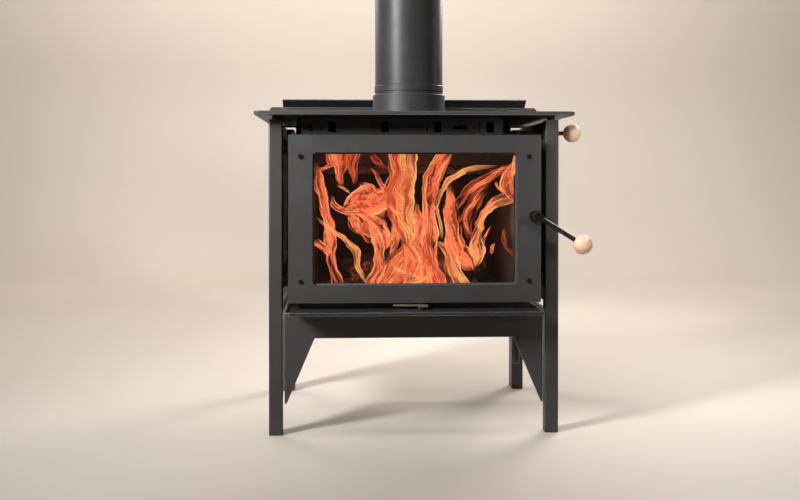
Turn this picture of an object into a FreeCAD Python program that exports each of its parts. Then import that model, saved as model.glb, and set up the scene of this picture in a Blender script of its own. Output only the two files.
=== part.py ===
import FreeCAD, Part

import math
import os
import re

import Sketcher

# Free-standing wood burning stove on four post legs, with a glazed door, a flue outlet and two air controls.
# Millimetres. +Z is up, +X is to the right of a person facing the door, the door faces -Y.
# The origin is on the floor, under the middle of the box that the whole stove fills, handles included. The
# places below are measured from the centre of the four posts, and place() moves them all to that origin.

DIMENSIONS = [
    # from the centre of the posts to the origin
    ("OriginRight", 14),
    ("OriginFront", 41.5),
    # frame of four posts
    ("FrameWidth", 600),
    ("FrameDepth", 490),
    ("PostWidth", 28),
    ("FrontPostDepth", 28),
    ("RearPostDepth", 50),
    ("PostHeight", 650),
    ("PostWall", 3),
    ("PostCorner", 3),
    ("RailSize", 20),
    ("RailInset", 2),
    ("LowerRailHeight", 300),
    ("UpperRailHeight", 590),
    ("BracketWidth", 30),
    ("BracketThick", 6),
    # top plate and what stands on it
    ("TopWidth", 656),
    ("TopHeight", 666),
    ("TopThick", 8),
    ("TopOverhang", 35),
    ("TopCorner", 12),
    ("TopEdge", 2.5),
    ("SpacerRadius", 8),
    ("DeflectorWidth", 594),
    ("DeflectorThick", 2),
    ("DeflectorUpright", 37),
    ("DeflectorRise", 16),
    ("DeflectorLean", 26),
    ("DeflectorSetback", 35),
    # panels and shields
    ("ShieldWidth", 666),
    ("ShieldThick", 2.5),
    ("ShieldAboveTop", 39),
    ("ShieldCorner", 10),
    ("ShieldSideGap", 2),
    ("ShieldGap", 52),
    ("PanelThick", 2),
    ("PanelTopGap", 6),
    ("BottomShieldThick", 2),
    ("BottomShieldGap", 10),
    ("SkirtThick", 2.5),
    ("SkirtSetback", 4),
    ("SkirtGap", 4),
    ("SkirtDepth", 51),
    ("SkirtTip", 64),
    ("SkirtTipWidth", 4),
    ("SkirtSlope", 62),
    ("SkirtFlange", 15),
    # firebox
    ("BoxWidth", 476),
    ("BoxDepth", 385),
    ("BoxBottom", 262),
    ("BoxTop", 618),
    ("BoxWall", 5),
    ("BaseThick", 6),
    ("RoofThick", 6),
    ("FrontThick", 6),
    ("MouthMargin", 24),
    ("MouthHeight", 280),
    ("BrickThick", 25),
    ("BrickGap", 1),
    ("BrickTop", 535),
    ("BrickSetback", 10),
    ("TubeRadius", 10),
    ("TubeWall", 2),
    ("TubeFirst", 130),
    ("TubeRear", 75),
    ("TubeClearance", 3),
    ("BaffleThick", 25),
    ("BaffleFront", 120),
    ("AirwashDrop", 21),
    ("AirwashFront", 12),
    ("AirwashBack", 65),
    ("SheetThick", 3),
    # flue
    ("FlueRadius", 76.5),
    ("FlueWall", 2),
    ("FlueTop", 960),
    ("FlueSetback", 215),
    ("FlueFit", 0.3),
    ("CollarWall", 4.7),
    ("CollarTop", 716.5),
    ("CollarSeat", 640),
    ("CollarHole", 70),
    ("CollarFlange", 16),
    ("CollarFlangeThick", 4),
    ("CollarGap", 0.75),
    ("BeadBottom", 6),
    ("BeadHeight", 15),
    ("BeadProud", 1.3),
    ("CollarBoltRadius", 3),
    # ash lip
    ("LipWidth", 509),
    ("LipThick", 6),
    ("LipFront", 80),
    ("LipBack", 20),
    # door
    ("DoorLap", 20.5),
    ("DoorHeight", 343),
    ("DoorBottom", 275),
    ("DoorThick", 6),
    ("DoorProud", 25),
    ("DoorCorner", 2),
    ("WindowMargin", 49),
    ("WindowMarginHigh", 36),
    ("WindowCorner", 10),
    ("GlassLap", 8),
    ("GlassThick", 4),
    ("GasketThick", 2),
    ("GasketWidth", 11.5),
    ("GasketCorner", 6.5),
    ("GlassClearance", 0.5),
    ("InnerFrameMargin", 21),
    ("InnerFrameMarginHigh", 6.5),
    ("InnerFrameDepth", 11),
    ("InnerFrameLip", 2),
    ("RopeWidth", 8),
    ("RopeWall", 8.5),
    ("RopeDepth", 5),
    ("RopeProud", 1.7),
    ("DoorScrewInset", 25),
    ("DoorScrewInsetHigh", 44),
    ("DoorScrewRadius", 2.5),
    ("DoorScrewHead", 4.8),
    ("DoorScrewHeadHigh", 2.7),
    ("DoorScrewSocket", 1.75),
    # door hinge
    ("HingeInset", 10.5),
    ("HingeSetback", 14),
    ("HingePinRadius", 4),
    ("HingeClearance", 0.06),
    ("HingeLugWall", 3),
    ("HingeLugHigh", 6),
    ("HingeLift", 0.3),
    ("UpperLugHeight", 600),
    ("LowerLugHeight", 281),
    ("UpperPinTop", 623),
    ("LowerPinTop", 297),
    ("HingeStrap", 41),
    # door handle and latch
    ("HandleInset", 12.5),
    ("HandleHeight", 451),
    ("SpindleRadius", 5),
    ("SpindleClearance", 0.06),
    ("BushRadius", 12),
    ("BushLength", 10),
    ("HubRadius", 9.5),
    ("HubLength", 39.7),
    ("HubGap", 0.3),
    ("HandleRodRadius", 5),
    ("HandleRodSetback", 12),
    ("HandleReach", 106),
    ("HandleAngle", 31.6),
    ("HandleBall", 20),
    ("BallBore", 12),
    ("BallFit", 0.05),
    ("CamGap", 9),
    ("CamThick", 5),
    ("CamRadius", 7.3),
    ("CamFinger", 30),
    ("CamFingerWidth", 10),
    ("NutRadius", 7.3),
    ("NutThick", 6),
    ("KeeperGap", 1),
    ("KeeperReach", 16),
    ("KeeperHigh", 15),
    ("KeeperThick", 5),
    ("KeeperFront", 16),
    # upper air control
    ("SlideLeft", 234),
    ("SlideRight", 186),
    ("SlideThick", 3),
    ("SlideSetback", 22),
    ("SlideLift", 3),
    ("SlideHigh", 34),
    ("SlideTravel", 20),
    ("SlideGap", 0.3),
    ("AirBoxWall", 3),
    ("AirBoxDepth", 46),
    ("AirBoxRight", 176),
    ("AirBoxLeft", 234),
    ("WindowPitch", 110),
    ("FirstWindow", -170.5),
    ("AirWindowWidth", 15),
    ("AirWindowHigh", 22),
    ("AirWindowLift", 7),
    ("AirSlotWidth", 2.5),
    ("AirSlotOffset", 21.5),
    ("LeftAirScrew", -218),
    ("RightAirScrew", 106),
    ("AirScrewLift", 17),
    ("AirScrewRadius", 3.95),
    ("AirScrewFit", 0.05),
    ("AirScrewHead", 6.5),
    ("AirScrewHeadHigh", 3),
    ("AirScrewSocket", 1.8),
    ("SlotSlack", 1),
    ("AirRodRadius", 4.5),
    ("AirRodSetback", 40),
    ("AirRodHeight", 624),
    ("AirBall", 19),
    ("AirBallOut", 36),
    ("AirTabWidth", 8),
    ("GuideFit", 0.06),
    ("GuideWall", 3.5),
    ("GuideLength", 8),
    ("LockNutRadius", 5.7),
    ("LockNutThick", 4),
    # primary air lever
    ("LeverSetback", -14),
    ("LeverPivot", 10),
    ("LeverThick", 4),
    ("LeverLift", 6),
    ("LeverTail", 55),
    ("LeverTipWidth", 3),
    ("LeverBoss", 6.5),
    ("LeverTab", 15),
    ("LeverTabReach", 30),
    ("LeverPinRadius", 3),
    ("LeverPinFit", 0.06),
    ("LeverClip", 5),
    ("LeverClipThick", 1.2),
    ("PortWidth", 34),
    ("PortHigh", 4),
]

doc = FreeCAD.newDocument("WoodStove")
dims = doc.addObject("Spreadsheet::Sheet", "Dims")
for row, (alias, value) in enumerate(DIMENSIONS, start=1):
    dims.set(f"A{row}", alias)
    dims.set(f"B{row}", str(value))
    dims.setAlias(f"B{row}", alias)
doc.recompute()

ALIASES = {alias for alias, _ in DIMENSIONS}
NODES = []

# Places that many pieces share, as expressions of the named sizes.
FRONT = "(-FrameDepth / 2)"
BACK = "(FrameDepth / 2)"
HALF = "(FrameWidth / 2)"
POST_INNER = "(FrameWidth / 2 - PostWidth)"
TOP_UNDER = "(TopHeight - TopThick)"
BOX_HALF = "(BoxWidth / 2)"
BOX_INNER = "(BoxWidth / 2 - BoxWall)"
BOX_BACK = f"({FRONT} + BoxDepth)"
ROOF_UNDER = "(BoxTop - RoofThick)"
BASE_TOP = "(BoxBottom + BaseThick)"
BRICK_BASE = "(BoxBottom + BaseThick + BrickThick)"
SHIELD_FRONT = f"({BOX_BACK} + ShieldGap)"
FLUE_Y = f"({FRONT} + FlueSetback)"
AIR_BALL_X = "(FrameWidth / 2 + AirBallOut)"
COLLAR_RADIUS = "(FlueRadius + FlueFit + CollarWall)"
DOOR_FRONT = f"({FRONT} - DoorProud)"
DOOR_BACK = f"({FRONT} - DoorProud + DoorThick)"
DOOR_MIDDLE = "(DoorBottom + DoorHeight / 2)"
FRAME_BACK = f"({DOOR_BACK} + InnerFrameDepth)"
DOOR_HALF = "(BoxWidth / 2 + DoorLap)"
WINDOW_HALF = f"({DOOR_HALF} - WindowMargin)"
WINDOW_HALF_HIGH = "(DoorHeight / 2 - WindowMarginHigh)"
GLASS_HALF = f"({WINDOW_HALF} + GlassLap)"
GLASS_HALF_HIGH = f"({WINDOW_HALF_HIGH} + GlassLap)"
HINGE_X = f"(-{DOOR_HALF} + HingeInset)"
HINGE_Y = f"({DOOR_FRONT} + HingeSetback)"
HANDLE_X = f"({DOOR_HALF} - HandleInset)"
HUB_FRONT = f"({DOOR_FRONT} - BushLength - HubGap - HubLength)"
BRACKET_TOP = "(BoxBottom - BottomShieldGap)"
SKIRT_TOP = "(BoxBottom - BottomShieldGap - BottomShieldThick)"
SLIDE_FRONT = f"({FRONT} + SlideSetback)"
AIR_BOX_FRONT = f"({FRONT} + SlideSetback + SlideThick + SlideGap)"
TUBE_HEIGHT = "(BrickTop + TubeClearance + TubeRadius)"
AIR_ROD_Y = f"({FRONT} + AirRodSetback)"
LEVER_Y = f"({FRONT} + LeverSetback)"


def bound(expression):
    """The same expression with each named size read from the spreadsheet."""
    return re.sub(
        r"[A-Za-z][A-Za-z0-9]*",
        lambda word: "Dims." + word.group(0) if word.group(0) in ALIASES else word.group(0),
        expression,
    )


def value_of(expression):
    return float(dims.evalExpression(bound(expression)))


def bind(item, name, expression):
    item.setExpression(name, bound(expression))


def place(item, x="0", y="0", z="0"):
    bind(item, "Placement.Base.x", f"{x} - OriginRight")
    bind(item, "Placement.Base.y", f"{y} + OriginFront")
    bind(item, "Placement.Base.z", z)


def node(item, label):
    """Marks an object as a sub-part that is kept under this name."""
    item.Label = label
    NODES.append(item)
    return item


def block(name, x, y, z):
    item = doc.addObject("Part::Box", name)
    place(item, x[0], y[0], z[0])
    for side, (low, high) in (("Length", x), ("Width", y), ("Height", z)):
        bind(item, side, f"({high}) - ({low})")
    return item


TURNS = {
    "X": FreeCAD.Rotation(FreeCAD.Vector(0, 1, 0), 90),
    "Y": FreeCAD.Rotation(FreeCAD.Vector(1, 0, 0), -90),
    "Z": FreeCAD.Rotation(),
}


def cylinder(name, axis, radius, start, length, sides=0):
    """A round bar, or a hexagonal one for sides=6, from start along +axis."""
    kind = "Part::Prism" if sides else "Part::Cylinder"
    item = doc.addObject(kind, name)
    item.Placement = FreeCAD.Placement(FreeCAD.Vector(), TURNS[axis])
    if sides:
        item.Polygon = sides
        bind(item, "Circumradius", radius)
    else:
        bind(item, "Radius", radius)
    bind(item, "Height", length)
    place(item, *start)
    return item


def cut(name, base, *tools):
    result = base
    for index, tool in enumerate(tools):
        step = doc.addObject("Part::Cut", f"{name}_cut{index}")
        step.Base = result
        step.Tool = tool
        result = step
    return result


def fuse(name, *pieces):
    item = doc.addObject("Part::MultiFuse", f"{name}_fused")
    item.Shapes = list(pieces)
    item.Refine = True
    return item


def group(name, pieces):
    """Identical separate solids that are kept as one sub-part."""
    item = doc.addObject("Part::Compound", f"{name}_group")
    item.Links = list(pieces)
    return item


def new_body(name, x="0", y="0", z="0"):
    item = doc.addObject("PartDesign::Body", name)
    place(item, x, y, z)
    return item


def new_sketch(body, plane, offset="0"):
    sketch = body.newObject("Sketcher::SketchObject", body.Name + "_sketch")
    origin_plane = next(f for f in body.Origin.OriginFeatures if f.Role == plane)
    sketch.AttachmentSupport = (origin_plane, [""])
    sketch.MapMode = "FlatFace"
    bind(sketch, "AttachmentOffset.Base.z", offset)
    return sketch


def pin_point(sketch, line, end, x, y):
    """Holds one end of a sketch line at x, y from the sketch's origin."""
    for kind, axis, coordinate in (("DistanceX", -2, x), ("DistanceY", -1, y)):
        amount = value_of(coordinate)
        if coordinate == "0":
            sketch.addConstraint(Sketcher.Constraint("PointOnObject", line, end, axis))
            continue
        index = sketch.addConstraint(Sketcher.Constraint(kind, -1, 1, line, end, amount))
        bind(sketch, f"Constraints[{index}]", coordinate)


def outline(sketch, corners):
    """A closed run of straight lines through the corners, each held by its own two sizes."""
    points = [FreeCAD.Vector(value_of(x), value_of(y), 0) for x, y in corners]
    first = None
    for index, point in enumerate(points):
        following = points[(index + 1) % len(points)]
        line = sketch.addGeometry(Part.LineSegment(point, following), False)
        first = line if first is None else first
    count = len(points)
    for index in range(count):
        line = first + index
        following = first + (index + 1) % count
        sketch.addConstraint(Sketcher.Constraint("Coincident", line, 2, following, 1))
        pin_point(sketch, line, 1, *corners[index])


def rectangle(sketch, half_x, half_y, centre_y="0"):
    low = f"{centre_y} - ({half_y})"
    high = f"{centre_y} + ({half_y})"
    outline(sketch, [(f"-({half_x})", low), (half_x, low), (half_x, high), (f"-({half_x})", high)])


def hole(sketch, x, y, radius):
    centre = FreeCAD.Vector(value_of(x), value_of(y), 0)
    circle = Part.Circle(centre, FreeCAD.Vector(0, 0, 1), value_of(radius))
    index = sketch.addGeometry(circle, False)
    pin_point(sketch, index, 3, x, y)
    size = sketch.addConstraint(Sketcher.Constraint("Radius", index, value_of(radius)))
    bind(sketch, f"Constraints[{size}]", radius)


def pad(body, sketch, length, backwards=False):
    item = body.newObject("PartDesign::Pad", body.Name + "_pad")
    item.Profile = sketch
    item.Reversed = backwards
    bind(item, "Length", length)
    doc.recompute()
    return item


def pocket(body, sketch, depth, backwards=False):
    before = body.Shape.Volume
    item = body.newObject("PartDesign::Pocket", body.Name + "_pocket")
    item.Profile = sketch
    item.Reversed = backwards
    bind(item, "Length", depth)
    doc.recompute()
    if body.Shape.Volume > before - 1:
        raise RuntimeError(f"{body.Name}: the pocket cut nothing")
    return item


def revolve(body, sketch):
    item = body.newObject("PartDesign::Revolution", body.Name + "_turned")
    item.Profile = sketch
    item.ReferenceAxis = (sketch, ["V_Axis"])
    item.Angle = 360
    doc.recompute()
    return item


def fillet(body, radius, chosen):
    """Rounds the edges for which chosen(edge) is true."""
    tip = body.Tip
    names = [f"Edge{i}" for i, edge in enumerate(tip.Shape.Edges, start=1) if chosen(edge)]
    if not names:
        raise RuntimeError(f"{body.Name}: no edge to round")
    item = body.newObject("PartDesign::Fillet", body.Name + "_round")
    item.Base = (tip, names)
    bind(item, "Radius", radius)
    doc.recompute()
    return item


def runs_along(edge, axis):
    """True for a straight edge parallel to axis, 0 for X, 1 for Y and 2 for Z."""
    if not isinstance(edge.Curve, Part.Line):
        return False
    step = edge.Vertexes[-1].Point - edge.Vertexes[0].Point
    return abs(step[axis]) > 0.999 * step.Length


def mirrored(side, low, high):
    """The X span low..high on the right side, or its mirror image on the left."""
    if side == "right":
        return (low, high)
    return (f"-({high})", f"-({low})")


def sign(side):
    return "1" if side == "right" else "-1"


SIDES = ("left", "right")


# Frame -------------------------------------------------------------------------------------------


def post(name, side, low_y, depth):
    """A square tube leg, closed at the top and open at the foot."""
    body = new_body(name, f"{sign(side)} * ({HALF} - PostWidth / 2)", f"{low_y} + {depth} / 2")
    sketch = new_sketch(body, "XY_Plane")
    rectangle(sketch, "PostWidth / 2", f"{depth} / 2")
    pad(body, sketch, "PostHeight")
    fillet(body, "PostCorner", lambda edge: runs_along(edge, 2))
    inside = new_sketch(body, "XY_Plane")
    rectangle(inside, "PostWidth / 2 - PostWall", f"{depth} / 2 - PostWall")
    pocket(body, inside, "PostHeight - PostWall", backwards=True)
    node(body, name)


def posts():
    for side in SIDES:
        post(f"front_post_{side}", side, FRONT, "FrontPostDepth")
        post(f"rear_post_{side}", side, f"({BACK} - RearPostDepth)", "RearPostDepth")


def rails():
    """Two square rails a side, and the brackets that carry the firebox on them."""
    inner = f"({POST_INNER} - RailInset)"
    for side in SIDES:
        bars = []
        brackets = []
        for level, height in (("lower", "LowerRailHeight"), ("upper", "UpperRailHeight")):
            bars.append(
                block(
                    f"rail_{level}_{side}",
                    mirrored(side, inner, f"{inner} + RailSize"),
                    (f"{FRONT} + FrontPostDepth", f"{BACK} - RearPostDepth"),
                    (height, f"{height} + RailSize"),
                )
            )
            for end, y in (
                ("front", f"{FRONT} + 2 * BracketWidth"), ("rear", f"{BOX_BACK} - 2 * BracketWidth")
            ):
                brackets.append(
                    block(
                        f"bracket_{level}_{end}_{side}",
                        mirrored(side, BOX_HALF, inner),
                        (y, f"{y} + BracketWidth"),
                        (height, f"{height} + BracketThick"),
                    )
                )
        node(group(f"side_rails_{side}", bars), f"side_rails_{side}")
        node(group(f"firebox_brackets_{side}", brackets), f"firebox_brackets_{side}")


def side_panels():
    """Flat panels between the posts, fixed to the outside of the rails."""
    inner = f"({POST_INNER} - RailInset + RailSize)"
    for side in SIDES:
        sheet = block(
            f"panel_{side}",
            mirrored(side, inner, f"{inner} + PanelThick"),
            (f"{FRONT} + FrontPostDepth", f"{BACK} - RearPostDepth"),
            ("BoxBottom", f"{TOP_UNDER} - PanelTopGap"),
        )
        if side == "right":
            opening = cylinder(
                "panel_opening",
                "X",
                "AirRodRadius + GuideWall",
                (f"{inner} - GuideWall", AIR_ROD_Y, "AirRodHeight"),
                "PanelThick + 2 * GuideWall",
            )
            sheet = cut("panel_right", sheet, opening)
        node(sheet, f"side_panel_{side}")


# Top plate, deflector and rear shield ------------------------------------------------------------


def top_plate():
    body = new_body("top_plate", "0", FLUE_Y, TOP_UNDER)
    sketch = new_sketch(body, "XY_Plane")
    front = f"{FRONT} - TopOverhang - {FLUE_Y}"
    rear = f"{SHIELD_FRONT} - {FLUE_Y}"
    half = "TopWidth / 2"
    outline(sketch, [("-TopWidth / 2", front), (half, front), (half, rear), ("-TopWidth / 2", rear)])
    hole(sketch, "0", "0", f"{COLLAR_RADIUS} + CollarGap")
    pad(body, sketch, "TopThick")
    beyond_hole = value_of(COLLAR_RADIUS) * 1.2
    fillet(body, "TopCorner", lambda edge: runs_along(edge, 2) and abs(edge.CenterOfMass[0]) > beyond_hole)
    top = value_of("TopThick")

    def outer_top_edge(edge):
        box = edge.BoundBox
        return box.ZMin > top - 0.01 and max(abs(box.XMin), abs(box.XMax)) > beyond_hole

    fillet(body, "TopEdge", outer_top_edge)
    node(body, "top_plate")


def spacer_row(name, places, low, high):
    pieces = []
    for index, (x, y) in enumerate(places):
        pieces.append(cylinder(f"{name}_{index}", "Z", "SpacerRadius", (x, y, low), f"{high} - {low}"))
    node(group(name, pieces), name)


def spacers():
    post_x = f"({HALF} - PostWidth / 2)"
    post_y = f"({FRONT} + FrontPostDepth / 2)"
    spacer_row("post_spacers", [(f"-{post_x}", post_y), (post_x, post_y)], "PostHeight", TOP_UNDER)
    side = f"({BOX_HALF} - 5 * SpacerRadius)"
    near = f"({FRONT} + BoxDepth / 3)"
    far = f"({BOX_BACK} - 5 * SpacerRadius)"
    corners = [(f"-{side}", near), (side, near), (f"-{side}", far), (side, far)]
    spacer_row("roof_spacers", corners, "BoxTop", TOP_UNDER)
    spacer_row("base_spacers", corners, BRACKET_TOP, "BoxBottom")
    pieces = []
    for index, height in enumerate(("LowerRailHeight", "UpperRailHeight")):
        for x in (f"-{side}", side):
            pieces.append(
                cylinder(
                    f"shield_spacer_{len(pieces)}", "Y", "SpacerRadius", (x, BOX_BACK, height), "ShieldGap"
                )
            )
    node(group("rear_shield_spacers", pieces), "rear_shield_spacers")


def heat_deflector():
    """Folded sheet that stands on the top plate and leans forward above its fold."""
    body = new_body(
        "heat_deflector", "-DeflectorWidth / 2", f"{SHIELD_FRONT} - DeflectorSetback", "TopHeight"
    )
    sketch = new_sketch(body, "YZ_Plane")
    rise = "DeflectorUpright + DeflectorRise"
    corners = [
        ("0", "0"),
        ("DeflectorThick", "0"),
        ("DeflectorThick", "DeflectorUpright + DeflectorThick / 2"),
        ("DeflectorThick - DeflectorLean", f"{rise} + DeflectorThick / 2"),
        ("-DeflectorLean", f"{rise} - DeflectorThick / 2"),
        ("0", "DeflectorUpright - DeflectorThick / 2"),
    ]
    outline(sketch, corners)
    pad(body, sketch, "DeflectorWidth")
    node(body, "heat_deflector")


def rear_heat_shield():
    """Upright sheet behind the firebox: it passes between the rails and widens above the side panels."""
    body = new_body("rear_heat_shield", "0", SHIELD_FRONT, "0")
    sketch = new_sketch(body, "XZ_Plane")
    wide = "(ShieldWidth / 2)"
    narrow = f"({POST_INNER} - RailInset - ShieldSideGap)"
    top = "(TopHeight + ShieldAboveTop)"
    step = f"({TOP_UNDER} - PanelTopGap + ShieldSideGap)"
    outline(sketch, [
        (f"-{narrow}", "BoxBottom"),
        (narrow, "BoxBottom"),
        (narrow, step),
        (wide, step),
        (wide, top),
        (f"-{wide}", top),
        (f"-{wide}", step),
        (f"-{narrow}", step),
    ])
    pad(body, sketch, "ShieldThick", backwards=True)
    middle = value_of("TopHeight")
    fillet(body, "ShieldCorner", lambda edge: runs_along(edge, 1) and edge.CenterOfMass[2] > middle)
    node(body, "rear_heat_shield")


# Skirts and bottom shield ------------------------------------------------------------------------


def skirt_outline(half):
    """Sheet across the opening below the firebox, with a cut-out that leaves a point down each post."""
    inner = f"({half} - SkirtTipWidth)"
    shoulder = f"({half} - SkirtSlope)"
    low = f"({SKIRT_TOP} - SkirtDepth)"
    return [
        (f"-({half})", SKIRT_TOP),
        (half, SKIRT_TOP),
        (half, "SkirtTip"),
        (inner, "SkirtTip"),
        (shoulder, low),
        (f"-{shoulder}", low),
        (f"-{inner}", "SkirtTip"),
        (f"-({half})", "SkirtTip"),
    ]


def flange_outline(half):
    """The folded edge: one strip across the top and one down each side."""
    inner = f"({half} - SkirtThick)"
    return [
        (f"-({half})", "SkirtTip"),
        (f"-({half})", SKIRT_TOP),
        (half, SKIRT_TOP),
        (half, "SkirtTip"),
        (inner, "SkirtTip"),
        (inner, f"{SKIRT_TOP} - SkirtThick"),
        (f"-{inner}", f"{SKIRT_TOP} - SkirtThick"),
        (f"-{inner}", "SkirtTip"),
    ]


def skirt(name, plane, half, backwards, x="0", y="0"):
    body = new_body(name, x, y, "0")
    face = new_sketch(body, plane)
    outline(face, skirt_outline(half))
    pad(body, face, "SkirtThick", backwards)
    fold = new_sketch(body, plane)
    outline(fold, flange_outline(half))
    pad(body, fold, "SkirtFlange", backwards)
    node(body, name)


def skirts():
    skirt("front_skirt", "XZ_Plane", f"({POST_INNER} - SkirtGap)", True, "0", f"{FRONT} + SkirtSetback")
    half = "((FrameDepth - FrontPostDepth - RearPostDepth) / 2)"
    middle = "((FrontPostDepth - RearPostDepth) / 2)"
    outer = f"({POST_INNER} - RailInset + RailSize)"
    skirt("side_skirt_left", "YZ_Plane", half, False, f"-{outer}", middle)
    skirt("side_skirt_right", "YZ_Plane", half, True, outer, middle)


def bottom_heat_shield():
    width = f"({POST_INNER} - SkirtGap)"
    sheet = block(
        "bottom_shield",
        (f"-{width}", width),
        (f"{FRONT} + SkirtSetback", BOX_BACK),
        (SKIRT_TOP, BRACKET_TOP),
    )
    node(sheet, "bottom_heat_shield")


def ash_lip():
    sheet = block(
        "lip",
        ("-LipWidth / 2", "LipWidth / 2"),
        (f"{FRONT} - LipFront", f"{FRONT} + LipBack"),
        ("BoxBottom - LipThick", "BoxBottom"),
    )
    start = ("LeverPivot", LEVER_Y, "BoxBottom - 2 * LipThick")
    bore = cylinder("lip_bore", "Z", "LeverPinRadius", start, "3 * LipThick")
    node(cut("lip", sheet, bore), "ash_lip")


# Firebox -----------------------------------------------------------------------------------------


def firebox_shell():
    outer = block("shell_outer", (f"-{BOX_HALF}", BOX_HALF), (FRONT, BOX_BACK), ("BoxBottom", ROOF_UNDER))
    inner = block(
        "shell_inner",
        (f"-{BOX_INNER}", BOX_INNER),
        (f"{FRONT} - BoxWall", f"{BOX_BACK} - BoxWall"),
        (BASE_TOP, f"{ROOF_UNDER} + BoxWall"),
    )
    node(cut("shell", outer, inner), "firebox_shell")


def firebox_front():
    """Front frame of the firebox: the door's rope seals on it."""
    body = new_body("firebox_front", "0", FRONT, "0")
    sketch = new_sketch(body, "XZ_Plane")
    outline(sketch, [
        (f"-{BOX_HALF}", "BoxBottom"),
        (BOX_HALF, "BoxBottom"),
        (BOX_HALF, "BoxTop"),
        (f"-{BOX_HALF}", "BoxTop"),
    ])
    rectangle(sketch, f"{BOX_HALF} - MouthMargin", "MouthHeight / 2", DOOR_MIDDLE)
    port = f"({BASE_TOP} + PortHigh / 2)"
    port_x = "(LeverPivot - LeverTail + PortWidth / 2)"
    port_corners = []
    for across, up in ((-1, -1), (1, -1), (1, 1), (-1, 1)):
        port_corners.append((f"{port_x} + {across} * PortWidth / 2", f"{port} + {up} * PortHigh / 2"))
    outline(sketch, port_corners)
    pad(body, sketch, "FrontThick")
    fillet(body, "WindowCorner", mouth_corner)
    node(body, "firebox_front")


def mouth_corner(edge):
    """A corner of the firebox mouth, which is well inside the plate and above the air port."""
    centre = edge.CenterOfMass
    inside = abs(centre[0]) < value_of(f"{BOX_HALF} - MouthMargin") + 1
    above = centre[2] > value_of(f"{BASE_TOP} + 2 * PortHigh")
    below = centre[2] < value_of("BoxTop") - 1
    return runs_along(edge, 1) and inside and above and below


def firebox_roof():
    plate = block("roof_sheet", (f"-{BOX_HALF}", BOX_HALF), (FRONT, BOX_BACK), (ROOF_UNDER, "BoxTop"))
    below = f"({ROOF_UNDER} - RoofThick)"
    flue = cylinder("roof_flue_hole", "Z", "CollarHole", ("0", FLUE_Y, below), "3 * RoofThick")
    slots = []
    for index in range(4):
        middle = f"(FirstWindow + {index} * WindowPitch)"
        slots.append(block(
            f"roof_air_slot_{index}",
            (f"{middle} - AirWindowWidth", f"{middle} + AirWindowWidth"),
            (f"{AIR_BOX_FRONT} + 2 * AirBoxWall", f"{AIR_BOX_FRONT} + 2 * AirBoxWall + AirWindowWidth"),
            (below, "BoxTop + RoofThick"),
        ))
    bolts = collar_bolts("roof_bolt_hole", below, "3 * RoofThick")
    node(cut("roof", plate, flue, *slots, *bolts), "firebox_roof")


def firebricks():
    half = f"({BOX_INNER} - BrickThick)"
    base = f"({BRICK_BASE} + BrickGap)"
    near = f"({FRONT} + BrickSetback)"
    far = f"({BOX_BACK} - BoxWall)"
    for side in SIDES:
        lining = block(
            f"brick_{side}", mirrored(side, half, BOX_INNER), (near, far), (base, "BrickTop")
        )
        node(lining, f"firebrick_{side}")
    rear = block(
        "brick_back",
        (f"-({half} - BrickGap)", f"{half} - BrickGap"),
        (f"{far} - BrickThick", far),
        (base, "BrickTop"),
    )
    node(rear, "firebrick_back")
    tiles = []
    columns = 3
    rows = 2
    wide = f"((2 * {BOX_INNER} - {columns - 1} * BrickGap) / {columns})"
    deep = f"((({far}) - ({near}) - {rows - 1} * BrickGap) / {rows})"
    for column in range(columns):
        for row_index in range(rows):
            x = f"(-{BOX_INNER} + {column} * ({wide} + BrickGap))"
            y = f"({near} + {row_index} * ({deep} + BrickGap))"
            tiles.append(
                block(
                    f"tile_{column}_{row_index}",
                    (x, f"{x} + {wide}"),
                    (y, f"{y} + {deep}"),
                    (BASE_TOP, BRICK_BASE),
                )
            )
    node(group("floor_bricks", tiles), "floor_bricks")


def air_tubes():
    """Three perforated steel tubes below the baffle, which carries it."""
    tubes = []
    for index in range(3):
        y = f"({FRONT} + TubeFirst + {index} * (BoxDepth - TubeFirst - TubeRear) / 2)"
        start = (f"-{BOX_INNER}", y, TUBE_HEIGHT)
        outer = cylinder(f"tube_{index}", "X", "TubeRadius", start, f"2 * {BOX_INNER}")
        inner = cylinder(f"tube_bore_{index}", "X", "TubeRadius - TubeWall", start, f"2 * {BOX_INNER}")
        tubes.append(cut(f"tube_{index}", outer, inner))
    node(group("secondary_air_tubes", tubes), "secondary_air_tubes")


def baffle():
    low = f"({TUBE_HEIGHT} + TubeRadius)"
    board = block(
        "baffle_board",
        (f"-({BOX_INNER} - BrickGap)", f"{BOX_INNER} - BrickGap"),
        (f"{FRONT} + BaffleFront", f"{BOX_BACK} - BoxWall"),
        (low, f"{low} + BaffleThick"),
    )
    node(board, "baffle")


def airwash_channel():
    """Bent sheet under the roof that turns the air down behind the glass."""
    low = f"({ROOF_UNDER} - AirwashDrop)"
    half = f"({BOX_INNER} - BrickGap)"
    floor = block(
        "airwash_floor",
        (f"-{half}", half),
        (f"{FRONT} + AirwashFront", f"{FRONT} + AirwashBack"),
        (low, f"{low} + SheetThick"),
    )
    wall = block(
        "airwash_wall",
        (f"-{half}", half),
        (f"{FRONT} + AirwashBack - SheetThick", f"{FRONT} + AirwashBack"),
        (low, ROOF_UNDER),
    )
    node(fuse("airwash", floor, wall), "airwash_channel")


# Flue --------------------------------------------------------------------------------------------


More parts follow.
